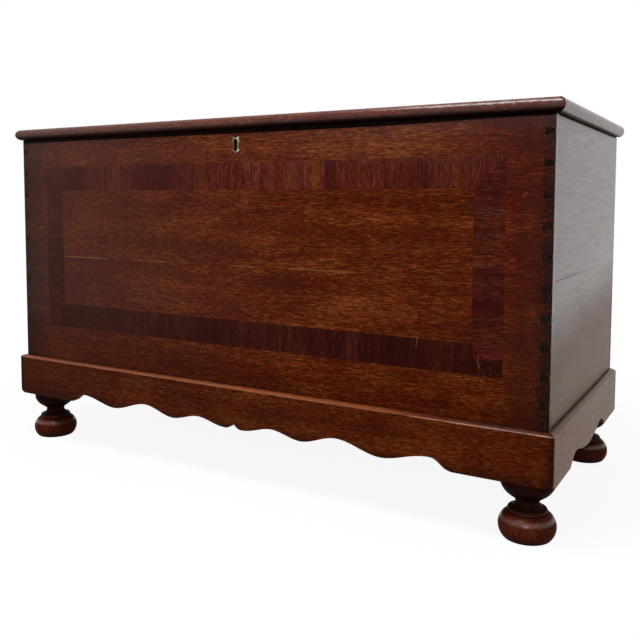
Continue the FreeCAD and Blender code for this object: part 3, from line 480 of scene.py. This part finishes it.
def front_gloss(wood):
    """How hazy the front's old wax is: most to the left and near the top, least low down to the right."""
    x, _, z = wood.at
    upward = wood.add(wood.fade(z, *HAZE_UP), wood.fade(z, *NEAR_TOP, 0.0, 0.35))
    top_right = wood.times(wood.fade(z, *NEAR_TOP), wood.within(x, *HAZE_TOP_RIGHT))
    under_lid = wood.times(wood.fade(z, *UNDER_LID), wood.fade(x, *UNDER_LID_ACROSS))
    patches = wood.add(wood.times(top_right, 0.17), wood.times(under_lid, 0.22))
    haze = wood.add(wood.times(wood.fade(x, *HAZE_ACROSS), upward), patches)
    return wood.add(haze, wood.fade(x, *HAZE_RIGHT_EDGE))


def front_wear(wood, colour):
    """Painted haze and shade to the left, dark at the right edge, painted shade low down by the plinth, and
    nicked along the right corner.
    """
    x, _, z = wood.at
    # painted haze and shade to the left
    colour = wood.cover(colour, HAZE_AND_SHADE_LEFT, wood.fade(x, *HAZE_AND_SHADE_TO_LEFT), 0.42)
    # painted shade: darker low down by the plinth
    colour = wood.cover(colour, LOW_SHADE_OAK, wood.fade(z, *SHADE_AT_PLINTH), 0.28)
    uneven = wood.add(x, wood.swing(wood.figure, 0.05))
    colour = wood.cover(colour, SHADED_OAK, wood.fade(uneven, *DARK_TO_RIGHT), wood.fade(z, *DARK_BY_HEIGHT))
    crimson = wood.times(wood.fade(x, *CRIMSON_ACROSS), wood.fade(z, *CRIMSON_UP))
    colour = wood.filtered(colour, CRIMSON, wood.times(crimson, 0.7))
    colour = wood.cover(colour, GRIME_AND_SHADE, wood.fade(uneven, *DARK_TO_LEFT), 0.50)
    blotch = wood.cloud(scale=130.0, rough=0.6)
    corner = wood.fade(wood.add(wood.magnitude(x), wood.swing(blotch, 0.06)), *CORNER_DARK)
    colour = wood.cover(colour, GRIME_AND_SHADE, corner,
                        wood.times(wood.fade(x, *CORNER_BY_SIDE), wood.fade(z, *CORNER_BY_HEIGHT)))
    nicked = wood.drawn(X, reach=8.0, scale=620.0, detail=1.0)
    nicks = wood.times(wood.fade(nicked, 0.64, 0.72), wood.fade(x, *NICKED_EDGE))
    return wood.cover(colour, NICK, nicks, 0.30)


def front_board(name, seed):
    wood = Wood(name, X, seed)
    x, y, z = wood.at
    # painted light: the grain is lifted lighter near the top and towards the right
    painted_top_light = wood.times(wood.fade(z, *NEAR_TOP), wood.within(x, *TOP_PAINTED_LIGHT))
    painted_light = wood.add(wood.times(painted_top_light, 0.12), wood.times(wood.within(x, *RIGHT_PAINTED_LIGHT), 0.05))
    colour = front_wear(wood, wood.grain(OAK, offset=painted_light))
    # painted shadow under the lid's edge, on the top of the front
    deep = wood.add(wood.fade(x, *LID_SHADOW_LEFT), wood.fade(x, *LID_SHADOW_RIGHT))
    line = wood.fade(wood.add(z, deep), CARCASE_TOP - 0.0016, CARCASE_TOP + 0.0008)
    line = wood.times(line, wood.fade(y, FRONT + 0.0012, FRONT + 0.0006))
    colour = wood.cover(colour, LID_SHADOW, line, LID_SHADOW_STRENGTH)
    # the pale line along the planks' joint
    broken = wood.fade(wood.drawn(X, reach=6.0, scale=90.0, detail=2.0), 0.36, 0.56)
    broken = wood.times(wood.within(x, *OPEN_JOINT), broken)
    pale = wood.times(wood.line(z, PLANK_JOINT - 0.0008, far=0.0015, near=0.0006), broken)
    colour = wood.cover(colour, JOINT_LINE, pale, 0.55)
    colour = wood.cover(colour, PALE_WEAR_AND_HIGHLIGHT, wood.stroke(*SMEAR), 0.07)
    colour = wood.cover(colour, DARK_MARK, wood.marks(DARK_MARKS), 0.62)
    colour = wood.cover(colour, PALE_WEAR_AND_HIGHLIGHT, wood.marks(LIGHT_MARKS), 0.40)
    colour = inside(wood, colour, wood.high_face(y, FRONT + BOARD))
    tails = wood.high_face(wood.magnitude(x), SIDE)
    colour = wood.mix(colour, tail_colour(wood), tails)
    waxed = wood.times(front_gloss(wood), wood.less(1.0, wood.times(line, 0.95)))
    return polished(wood, colour, wood.mix_number(waxed, end_gloss(wood), tails))


# ---------------------------------------------------------------- the ends and the back
LOW_REFLECTION_FROM = (0.470, 0.270)
END_GLOSS_UP = (0.310, 0.435, 0.295, 0.93)
END_JOINT_COLOUR, END_JOINT_GLOSS = (0.12, -0.12, 0.10, 0.6), (0.05, -0.15, 0.05, 0.45)


def end_height(wood):
    """The height on an end that its painted reflection and its gloss go by, a little uneven."""
    uneven = wood.swing(wood.patina, 0.10)
    return wood.add(wood.add(wood.at[Z], wood.times(wood.at[Y], -0.06)), uneven)


def end_colour(wood, colour):
    """The ends are dull, and painted warmer low down as the reflection of a brown floor."""
    colour = wood.mix(colour, DULL_END, 0.55)
    return wood.cover(colour, LOW_FLOOR_REFLECTION, wood.fade(end_height(wood), *LOW_REFLECTION_FROM), 0.68)


def tail_colour(wood):
    """The tails' end grain shows on the ends, in their finish, and takes it darker."""
    return wood.mix(end_colour(wood, wood.grain(OAK, 0.6)), GRIME_AND_SHADE, 0.40)


def end_gloss(wood):
    """The ends' wax has kept more gloss above the middle than below."""
    gloss = wood.fade(end_height(wood), *END_GLOSS_UP)
    gloss = wood.times(gloss, wood.fade(wood.at[Y], BACK - 0.0016, BACK - 0.0040, 0.30, 1.0))
    gloss = wood.times(gloss, wood.varied(wood.fibre, 0.75))
    return wood.times(gloss, wood.varied(wood.streak, 0.60))


def end_board(name, seed):
    wood = Wood(name, Y, seed, reach=(24.0, 22.0, 16.0))
    x, y, z = wood.at
    colour = end_colour(wood, wood.grain(OAK))
    # painted shadow lines under the lid and along the top of the plinth, and a dark line along the planks'
    # joint
    outside = wood.fade(wood.magnitude(x), SIDE - 0.0012, SIDE - 0.0006)
    lid_shadow = wood.times(outside, wood.fade(z, CARCASE_TOP - 0.0038, CARCASE_TOP - 0.0024))
    colour = wood.cover(colour, LID_SHADOW, lid_shadow, LID_SHADOW_STRENGTH)
    plinth_shadow = wood.fade(z, PLINTH_TOP + 0.0050, PLINTH_TOP + 0.0015)
    colour = wood.cover(colour, PLINTH_SHADOW, plinth_shadow, 0.8)
    joint = wood.line(z, PLANK_JOINT, far=0.0016, near=0.0007)
    colour = wood.cover(colour, GRIME_AND_SHADE, joint, wood.fade(y, *END_JOINT_COLOUR))
    # the pins' end grain, nearly black at the right corner
    ends = wood.cloud(scale=420.0, rough=0.65)
    end_grain = wood.mix(wood.ramp(ends, END_GRAIN_LEFT), wood.ramp(ends, END_GRAIN_RIGHT),
                         wood.fade(x, -0.01, 0.01))
    end_face = wood.larger(wood.low_face(y, FRONT), wood.high_face(y, BACK))
    colour = wood.mix(colour, end_grain, end_face)
    colour = inside(wood, colour, wood.low_face(wood.magnitude(x), SIDE - BOARD))
    lines = wood.larger(wood.times(lid_shadow, LID_SHADOW_STRENGTH), wood.times(plinth_shadow, 0.6))
    lines = wood.larger(lines, wood.times(joint, wood.fade(y, *END_JOINT_GLOSS)))
    coat = wood.times(end_gloss(wood), wood.less(1.0, lines))
    return polished(wood, colour, wood.mix_number(coat, 0.0, end_face), coat_roughness=0.30)


def back_board(name, seed):
    wood = Wood(name, X, seed)
    x, y, _ = wood.at
    colour = inside(wood, wood.grain(BACKING), wood.low_face(y, BACK - BOARD))
    tails = wood.high_face(wood.magnitude(x), SIDE)
    colour = wood.mix(colour, tail_colour(wood), tails)
    return polished(wood, colour, wood.mix_number(0.03, end_gloss(wood), tails), roughness=0.6)


# ---------------------------------------------------------------- the crossbands
BAND_PIECES = {X: 10, Z: 4}
TOP_PATCHES = [  # start, end and lift
    (-0.476, -0.403, -0.30),
    (-0.262, -0.166, -0.34),
    (0.018, 0.057, 0.26),
    (0.060, 0.195, 0.10),
    (0.200, 0.223, -0.35),
]
BOTTOM_PATCHES = [(0.245, 0.268, 0.22), (0.271, 0.484, -0.26)]
LEFT_PATCHES = [(0.260, 0.472, -0.12)]
RIGHT_PATCHES = [(0.450, 0.469, 0.16), (0.372, 0.397, -0.18)]
TOP_TO_CORNER, SIDE_TO_CORNER = (0.280, 0.440), (0.560, 0.585)
CORNER_SHADE = 0.76
LOW_CORNER_ACROSS, LOW_CORNER_UP = (0.480, 0.484), (0.3250, 0.3230)
LOW_CORNER_SHADE = (0.2970, 0.3005, 0.30, 0.88)
BAND_HAZE_AND_SHADE_TO_LEFT = (0.15, -0.60)
BAND_GLOSS_UP = (0.40, 0.60, 0.68, 0.95)


def banding(name, along, seed, shade, to_corner=None, patches=()):
    """Cross-grained veneer: each piece has its own tone, with a fine dark joint between pieces.

    shade is how light the band is, to_corner is where it starts and ends to change to the shade of the upper
    corners, and patches are spans that are lighter or darker by so much."""
    across = Z if along == X else X
    wood = Wood(name, across, seed, figure=110.0, streak=260.0, fibre=620.0, reach=(30.0, 22.0, 9.0))
    x, _, z = wood.at
    place = wood.at[along]
    step = (BAND_HIGH[along] - BAND_LOW[along]) / BAND_PIECES[along]
    pieces_along = wood.times(wood.less(place, BAND_LOW[along]), 1.0 / step)
    luck = wood.chance(wood.add(wood.calculate("FLOOR", pieces_along), seed * 7.3))
    offset = wood.swing(luck, 0.16)
    for start, end, lift in patches:
        offset = wood.add(offset, wood.times(wood.within(place, start, end, soft=0.0015), lift))
    colour = wood.grain(MAHOGANY, 0.9, offset)
    hue = wood.drawn(across, reach=40.0, scale=34.0, rough=0.6)
    colour = wood.mix(wood.filtered(colour, COOL), wood.filtered(colour, WARM), wood.fade(hue, 0.42, 0.60))
    if to_corner:
        shade = wood.fade(place, *to_corner, shade, CORNER_SHADE)
    # odd pieces patch the lower right corner
    low_corner = wood.times(wood.fade(x, *LOW_CORNER_ACROSS), wood.fade(z, *LOW_CORNER_UP))
    shade = wood.mix_number(shade, wood.fade(z, *LOW_CORNER_SHADE), low_corner)
    colour = wood.mix(DEEP_GRIME_AND_SHADE, colour, shade)
    # painted haze and shade to the left
    colour = wood.cover(colour, BAND_HAZE_AND_SHADE, wood.fade(x, *BAND_HAZE_AND_SHADE_TO_LEFT), 0.42)
    joint = wood.line(wood.calculate("FRACT", pieces_along), 0.5, far=0.494, near=0.499)
    colour = wood.cover(colour, GRIME_AND_SHADE, joint, 0.6)
    colour = wood.cover(colour, DARK_SCRATCH, wood.marks(BAND_SCRATCH), 0.6)
    colour = wood.cover(colour, NICK, wood.marks(BAND_CHIPS), 0.25)
    coat = wood.times(front_gloss(wood), wood.fade(z, *BAND_GLOSS_UP))
    return polished(wood, colour, coat, roughness=0.32, depth=0.0001)


# ---------------------------------------------------------------- the plinth
SLOPE_FOOT = PLINTH_TOP - 0.0050  # where the sloping top meets the outer face
SIDE_HOLES = [  # start, end and width
    ((PLINTH_SIDE, -0.2190, 0.1790), (PLINTH_SIDE, -0.2190, 0.1760), 0.0060),
    ((PLINTH_SIDE, -0.2070, 0.1370), (PLINTH_SIDE, -0.2070, 0.1350), 0.0050),
    ((PLINTH_SIDE, 0.1270, 0.1720), (PLINTH_SIDE, 0.1270, 0.1700), 0.0050),
]
PLINTH_SHADE_TO_LEFT = (0.10, 0.40, 0.24, 0.08)
PLINTH_HAZE_AND_SHADE_TO_LEFT = (0.10, -0.60)
SLOPE_DARK_END = (0.28, 0.46)
ARRIS_ACROSS = (0.25, 0.45, 0.40, 0.85)
PLINTH_CORNER = (PLINTH_SIDE - 0.014, PLINTH_SIDE - 0.002)
LOW_EDGE = (0.128, 0.106)
SLOPE_SHEEN_LEFT, SLOPE_SHEEN_RIGHT = (-0.10, 0.15, 0.50, 0.12), (0.36, 0.50, 0.0, 0.22)
SIDE_SLOPE_SHEEN = 0.40


def plinth_board(name, along, seed, coat):
    """The plinth's sloping top is painted pale as a reflection and painted dark towards the right as shade,
    and its arris carries a painted highlight.
    """
    wood = Wood(name, along, seed)
    x, y, z = wood.at
    is_front = along == X
    colour = wood.grain(OAK)
    if is_front:
        # painted shade, darker towards the left of the plinth's face
        colour = wood.mix(colour, GRIME_AND_SHADE, wood.fade(x, *PLINTH_SHADE_TO_LEFT))
    else:
        uneven = wood.drawn(Z, reach=0.5, scale=45.0, detail=4.0, rough=0.6)
        bleached = wood.fade(uneven, 0.35, 0.65, low=0.45, high=0.90)
        colour = wood.mix(colour, BLEACHED_PLINTH, bleached)
    # painted haze and shade to the left
    colour = wood.cover(colour, HAZE_AND_SHADE_LEFT, wood.fade(x, *PLINTH_HAZE_AND_SHADE_TO_LEFT), 0.25)
    slope = wood.fade(z, SLOPE_FOOT - 0.0006, SLOPE_FOOT + 0.0004)
    to_face = wood.fade(y, PLINTH_FACE + 0.0080, PLINTH_FACE + 0.0045, 0.20, 1.0) if is_front else 1.0
    dark_end = wood.fade(x, *SLOPE_DARK_END)
    # painted reflection on the slope
    pale = wood.times(wood.times(slope, to_face), wood.less(1.0, wood.times(dark_end, 0.9)))
    colour = wood.cover(colour, SLOPE_REFLECTION, pale, 0.46)
    # painted shade on the slope towards the right
    colour = wood.cover(colour, GRIME_AND_SHADE, wood.times(slope, dark_end), 0.55)
    # painted highlight along the arris
    arris = wood.times(wood.line(z, SLOPE_FOOT, far=0.0016, near=0.0004), wood.fade(wood.streak, 0.36, 0.55))
    colour = wood.cover(colour, PALE_WEAR_AND_HIGHLIGHT, arris, wood.fade(x, *ARRIS_ACROSS))
    if is_front:
        worn = wood.cloud(scale=260.0, detail=4.0, rough=0.7)
        corner = wood.fade(wood.add(wood.magnitude(x), wood.swing(worn, 0.02)), *PLINTH_CORNER)
        corner = wood.times(corner, wood.fade(y, -0.20, -0.25))
        colour = wood.cover(colour, GRIME_AND_SHADE, corner, 0.80)
        colour = wood.cover(colour, GRIME_AND_SHADE, wood.fade(z, *LOW_EDGE), wood.fade(worn, 0.35, 0.60, 0.15, 0.60))
        sheen = wood.add(wood.fade(x, *SLOPE_SHEEN_LEFT), wood.fade(x, *SLOPE_SHEEN_RIGHT))
    else:
        holes = wood.marks(SIDE_HOLES)
        colour = wood.cover(colour, DEEP_GRIME_AND_SHADE, holes, 0.85)
        coat = wood.times(wood.less(1.0, wood.times(holes, 0.9)), wood.add(wood.swing(wood.fibre, 0.5), coat))
        sheen = SIDE_SLOPE_SHEEN
    coat = wood.larger(wood.times(slope, sheen), coat)
    return polished(wood, colour, coat, coat_roughness=0.22, edge=0.0009)


# ---------------------------------------------------------------- the lid and the feet
LID_SHADE_TO_LEFT = (0.30, -0.50)
LID_CHIP = (  # start, end and width
    (LID_SIDE - 0.010, LID_FRONT + 0.008, LID_TOP),
    (LID_SIDE - 0.001, LID_FRONT + 0.001, LID_TOP - 0.007),
    0.007,
)
BARE_UNDERSIDE = (LID_FRONT + 0.018, LID_FRONT + 0.022)  # the lid's underside is bare from here to the back
NECK_FROM = (0.046, 0.052)


def lid_wood(name, along, seed, coat, low_start=0.0):
    """The lid is painted dark under its rounded edge, as shade where the edge faces down.

    low_start is how far down the edge faces where the dark begins."""
    wood = Wood(name, along, seed)
    x, y, z = wood.at
    colour = wood.grain(OAK)
    # painted shade where the lid's surfaces face down
    low = wood.fade(wood.facing(Z), low_start, max(low_start - 0.70, -0.98))
    colour = wood.cover(colour, DEEP_GRIME_AND_SHADE, low, 0.93)
    # painted shade, darker to the left
    colour = wood.cover(colour, LID_SHADE_LEFT, wood.fade(x, *LID_SHADE_TO_LEFT), 0.5)
    # the mitres have opened a little, and the right front corner has lost a chip
    mitre = wood.line(wood.add(wood.magnitude(x), y), LID_SIDE + LID_FRONT, far=0.0022, near=0.0008)
    mitre = wood.times(mitre, wood.fade(y, NOSE_BACK, NOSE_BACK - HAIR))
    opened = wood.larger(wood.times(mitre, 0.85), wood.times(wood.stroke(*LID_CHIP), 0.9))
    colour = wood.mix(colour, OPENED, opened)
    colour = inside(wood, colour, wood.times(wood.low_face(z, LID_UNDER), wood.fade(y, *BARE_UNDERSIDE)))
    gloss = wood.times(wood.times(wood.less(1.0, low), wood.less(1.0, opened)), coat)
    gloss = wood.times(gloss, wood.varied(wood.fibre, 1.5))
    return polished(wood, colour, gloss, coat_roughness=0.20, depth=0.0003)


def turned_foot(name, seed, lift):
    """The bun's shoulder carries a painted highlight and its underside painted shade; the neck and the bell
    above it are nearly black.
    """
    wood = Wood(name, Z, seed, reach=(3.0, 3.0, 3.0))
    colour = wood.grain(TURNED, 0.8, lift)
    up = wood.facing(Z)
    # painted shade where the foot faces down
    colour = wood.cover(colour, FOOT_UNDERSIDE_SHADE, wood.fade(up, -0.20, -0.90), 0.45)
    above = wood.fade(wood.at[Z], *NECK_FROM)
    shoulder = wood.times(wood.within(up, 0.44, 0.64, 0.12), wood.less(1.0, above))
    patchy = wood.fade(wood.cloud(scale=60.0, detail=2.0), 0.36, 0.60, low=0.35, high=1.0)
    # painted highlight on the bun's shoulder
    colour = wood.cover(colour, BUN_HIGHLIGHT, wood.times(shoulder, patchy), 0.30)
    colour = wood.cover(colour, FOOT_BLACK, above, 0.88)
    coat = wood.add(wood.times(shoulder, 0.80), 0.03)
    return polished(wood, colour, coat, roughness=0.40, coat_roughness=0.20, ior=FOOT_GLOSS,
                    shade_reach=0.010)


# ---------------------------------------------------------------- metals
KEYHOLE_SHADE_RING = (  # start, end and width
    (LOCK_MIDDLE, LOCK_FACE, LOCK_LOW + 0.0105),
    (LOCK_MIDDLE, LOCK_FACE, LOCK_LOW + 0.0255),
    0.0125,
)
LOCK_PATINA_AND_SHADE_TO_LEFT = (0.0105, 0.0020)


def lock_plate_patina_and_shade(paint, worn, dull):
    """The lock plate is dull low down to the left, partly patina and partly painted shade, and painted black
    round the keyhole as the shade of its opening.
    """
    x, _, z = paint.at
    leaning = paint.add(x, paint.times(paint.less(z, LOCK_LOW), 0.25))
    # patina and painted shade to the left
    worn = paint.larger(worn, paint.times(paint.fade(leaning, *LOCK_PATINA_AND_SHADE_TO_LEFT), 0.85))
    # painted shade round the keyhole
    ring = paint.fade(paint.stroke(*KEYHOLE_SHADE_RING), 0.22, 0.50)
    return paint.larger(worn, ring), paint.mix(dull, KEYHOLE_SHADE, ring)


def metal(name, colour, dull, roughness, scale=160.0, metallic=1.0, ior=1.45, patina_and_shade=None):
    """A metal that is bright where it is handled and dull in blotches and in its crevices."""
    paint = Paint(name)
    blotch = paint.noise(paint.place, scale, detail=4.0, rough=0.6)
    fine = paint.noise(paint.place, scale * 9, detail=2.0, rough=0.6)
    crevice = paint.fade(paint.darkening(0.0015), 0.45, 0.95, 1.0, 0.0)
    worn = paint.larger(paint.fade(blotch, 0.42, 0.66), crevice)
    if patina_and_shade:
        worn, dull = patina_and_shade(paint, worn, dull)
    rough = paint.add(paint.swing(blotch, 0.35), roughness)
    return paint.finish(paint.mix(colour, dull, worn), rough, paint.add(blotch, fine), depth=0.00005,
                        edge=0.0003, Metallic=metallic, IOR=ior)


# ---------------------------------------------------------------- dressing the CAD nodes
FRONT_GLOSS, SIDE_GLOSS = 0.03, 0.235  # the plinth's
NOSE_GLOSS, PLANK_GLOSS = 0.70, 0.5  # the lid's rounded edge and its planks
SIDE_EDGE_DARK = -0.72
FOOT_LIFT, RIGHT_FOOT_LIFT = -0.11, 0.16


def dress(node, material):
    held = nodes[node].data.materials
    held.clear()
    held.append(material)


dress("front_board_upper", front_board("front_oak_upper", seed=1.0))
dress("front_board_lower", front_board("front_oak_lower", seed=2.0))
for i, side in enumerate(("left", "right")):
    dress(f"{side}_end_board_upper", end_board(f"end_oak_upper_{side}", 3.0 + i))
    dress(f"{side}_end_board_lower", end_board(f"end_oak_lower_{side}", 5.0 + i))
    dress(f"plinth_{side}", plinth_board(f"plinth_oak_{side}", Y, 11.0 + i, SIDE_GLOSS))
    dress(f"lid_{side}_moulding", lid_wood(f"lid_oak_{side}", Y, 13.0 + i, NOSE_GLOSS, SIDE_EDGE_DARK))
dress("back_board_upper", back_board("back_oak_upper", seed=7.0))
dress("back_board_lower", back_board("back_oak_lower", seed=8.0))
dress("plinth_front", plinth_board("plinth_oak_front", X, seed=10.0, coat=FRONT_GLOSS))
dress("lid_front_moulding", lid_wood("lid_oak_nose", X, seed=15.0, coat=NOSE_GLOSS))
for i, place in enumerate(("front", "middle", "back")):
    dress(f"lid_plank_{place}", lid_wood(f"lid_oak_{place}", X, 16.0 + i, PLANK_GLOSS))
    dress(f"bottom_board_{place}", dry_oak(f"bottom_oak_{place}", X, 19.0 + i))
dress("crossband_top", banding(
    "crossband_top_mahogany", X, seed=30.0, shade=0.95, to_corner=TOP_TO_CORNER, patches=TOP_PATCHES))
dress("crossband_bottom", banding(
    "crossband_bottom_mahogany", X, seed=31.0, shade=0.46, patches=BOTTOM_PATCHES))
dress("crossband_left", banding(
    "crossband_left_mahogany", Z, seed=32.0, shade=0.70, to_corner=SIDE_TO_CORNER, patches=LEFT_PATCHES))
dress("crossband_right", banding(
    "crossband_right_mahogany", Z, seed=33.0, shade=0.70, to_corner=SIDE_TO_CORNER, patches=RIGHT_PATCHES))
for i, end in enumerate(("front", "back")):
    for j, side in enumerate(("left", "right")):
        lift = RIGHT_FOOT_LIFT * j + FOOT_LIFT
        dress(f"foot_{end}_{side}", turned_foot(f"turned_oak_{end}_{side}", 40.0 + 2 * i + j, lift))
        dress(f"foot_block_{end}_{side}", dry_oak(f"block_oak_{end}_{side}", X, 45.0 + 2 * i + j))
dress("plinth_glue_blocks", dry_oak("glue_block_oak", X, seed=50.0))
dress("plinth_back_rail", dry_oak("back_rail_oak", X, seed=51.0, tones=BACKING))

dress("bottom_nails", metal("old_iron", *IRON, roughness=0.6, metallic=0.7))
dress("plinth_nails", metal("filled_nails", *NAIL_FILLING, roughness=0.7, metallic=0.0, ior=PLAIN_GLOSS))
steel = metal("bright_steel", *STEEL, roughness=0.34)
for name in ("lock_bolt", "bolt_spring"):
    dress(name, steel)
brass = metal("aged_brass", *BRASS, roughness=0.36)
for name in nodes:
    if name.startswith(("hinge_", "link_plate", "lock_case", "lock_cap", "lock_screws")):
        dress(name, brass)
lock_plate = metal("escutcheon_brass", *PLATE_BRASS, roughness=0.36, scale=210.0, patina_and_shade=lock_plate_patina_and_shade)
for name in ("escutcheon", "escutcheon_pins"):
    dress(name, lock_plate)

# ---------------------------------------------------------------- studio
FLOOR_HALF = 14.0
WORLD_LIGHT, WORLD_STRENGTH = (0.95, 0.97, 1.0), 0.50
WHITE = (1.0, 1.0, 1.0)
FLOOR_PALE = (0.93, 0.93, 0.93)
FLOOR_BOUNCE = (0.26, 0.25, 0.24)  # what the floor sends up under the chest
FLOOR_SHADOW = (0.5, 1.6, 0.91, 1.0)  # from the chest outwards the floor turns from shadowed to plain white


def coloured(tree, kind, colour):
    made = tree.nodes.new(kind)
    made.inputs["Color"].default_value = (*colour, 1.0)
    return made


def either(tree, share, first, second):
    """The first shader where the share is 0 and the second where it is 1."""
    made = tree.nodes.new("ShaderNodeMixShader")
    for socket, value in zip(made.inputs, (share, first.outputs[0], second.outputs[0])):
        tree.links.new(value, socket)
    return made


def seen_directly(tree):
    """1 for camera, glossy and transmission rays, and 0 for the light that falls on the object."""
    path = tree.nodes.new("ShaderNodeLightPath")
    total = path.outputs["Is Camera Ray"]
    for ray in ("Is Glossy Ray", "Is Transmission Ray"):
        made = tree.nodes.new("ShaderNodeMath")
        made.operation = "MAXIMUM"
        tree.links.new(total, made.inputs[0])
        tree.links.new(path.outputs[ray], made.inputs[1])
        total = made.outputs[0]
    return total


def make_world():
    world = bpy.data.worlds.new("studio")
    bpy.context.scene.world = world
    world.use_nodes = True
    tree = world.node_tree
    tree.nodes.clear()
    light = coloured(tree, "ShaderNodeBackground", WORLD_LIGHT)
    light.inputs["Strength"].default_value = WORLD_STRENGTH
    shown = coloured(tree, "ShaderNodeBackground", WHITE)
    output = tree.nodes.new("ShaderNodeOutputWorld")
    tree.links.new(either(tree, seen_directly(tree), light, shown).outputs[0], output.inputs[0])


def make_floor():
    mesh = bpy.data.meshes.new("floor")
    corners = [(x, y, 0.0) for x, y in ((-FLOOR_HALF, -FLOOR_HALF), (FLOOR_HALF, -FLOOR_HALF),
                                        (FLOOR_HALF, FLOOR_HALF), (-FLOOR_HALF, FLOOR_HALF))]
    mesh.from_pydata(corners, [], [(0, 1, 2, 3)])
    floor = bpy.data.objects.new("floor", mesh)
    bpy.context.scene.collection.objects.link(floor)
    material = bpy.data.materials.new("pale_floor")
    material.use_nodes = True
    tree = material.node_tree
    tree.nodes.clear()
    length = tree.nodes.new("ShaderNodeVectorMath")
    length.operation = "LENGTH"
    tree.links.new(tree.nodes.new("ShaderNodeTexCoord").outputs["Object"], length.inputs[0])
    share = tree.nodes.new("ShaderNodeMapRange")
    share.interpolation_type = "SMOOTHSTEP"
    for socket, number in zip(share.inputs[1:5], FLOOR_SHADOW):
        socket.default_value = number
    tree.links.new(length.outputs["Value"], share.inputs[0])
    shown = either(tree, share.outputs[0], coloured(tree, "ShaderNodeBsdfDiffuse", FLOOR_PALE),
                   coloured(tree, "ShaderNodeEmission", WHITE))
    bounce = coloured(tree, "ShaderNodeBsdfDiffuse", FLOOR_BOUNCE)
    output = tree.nodes.new("ShaderNodeOutputMaterial")
    tree.links.new(either(tree, seen_directly(tree), bounce, shown).outputs[0], output.inputs[0])
    mesh.materials.append(material)


def lamp(name, place, target, size, watts):
    light = bpy.data.lights.new(name, "AREA")
    light.shape = "RECTANGLE"
    light.size, light.size_y = size
    light.energy = watts
    made = bpy.data.objects.new(name, light)
    made.location = place
    made.rotation_euler = (Vector(target) - Vector(place)).to_track_quat("-Z", "Y").to_euler()
    bpy.context.scene.collection.objects.link(made)


make_world()
make_floor()
lamp("overhead_softbox", place=(0.0, -0.95, 2.5), target=(0.1, -0.1, 0.4), size=(0.95, 0.6), watts=45.0)
lamp("front_softbox", place=(1.0, -2.8, 1.5), target=(0.2, -0.2, 0.4), size=(0.8, 0.8), watts=14.5)

# ---------------------------------------------------------------- camera
FRAME_PIXELS = 640.0
FOCAL_PIXELS = 773.73
AXIS_PIXEL_Y = 254.68
SENSOR = 36.0
CAMERA_PLACE = (0.8977, -1.4958, 0.5593)
azimuth, elevation, roll = math.radians(-30.041), math.radians(-4.008), math.radians(0.187)
ahead = Vector((math.sin(azimuth) * math.cos(elevation), math.cos(azimuth) * math.cos(elevation),
                math.sin(elevation)))
level = Vector((math.cos(azimuth), -math.sin(azimuth), 0.0))
upright = level.cross(ahead)
right = level * math.cos(roll) + upright * math.sin(roll)
up = upright * math.cos(roll) - level * math.sin(roll)
view = bpy.data.cameras.new("camera")
view.sensor_width = SENSOR
view.lens = FOCAL_PIXELS * SENSOR / FRAME_PIXELS
view.shift_y = (AXIS_PIXEL_Y - FRAME_PIXELS / 2) / FRAME_PIXELS
camera = bpy.data.objects.new("camera", view)
turn = Matrix((right, up, -ahead)).transposed().to_4x4()
camera.matrix_world = Matrix.Translation(CAMERA_PLACE) @ turn
bpy.context.scene.collection.objects.link(camera)
bpy.context.scene.camera = camera
bpy.context.scene.view_settings.view_transform = "Standard"
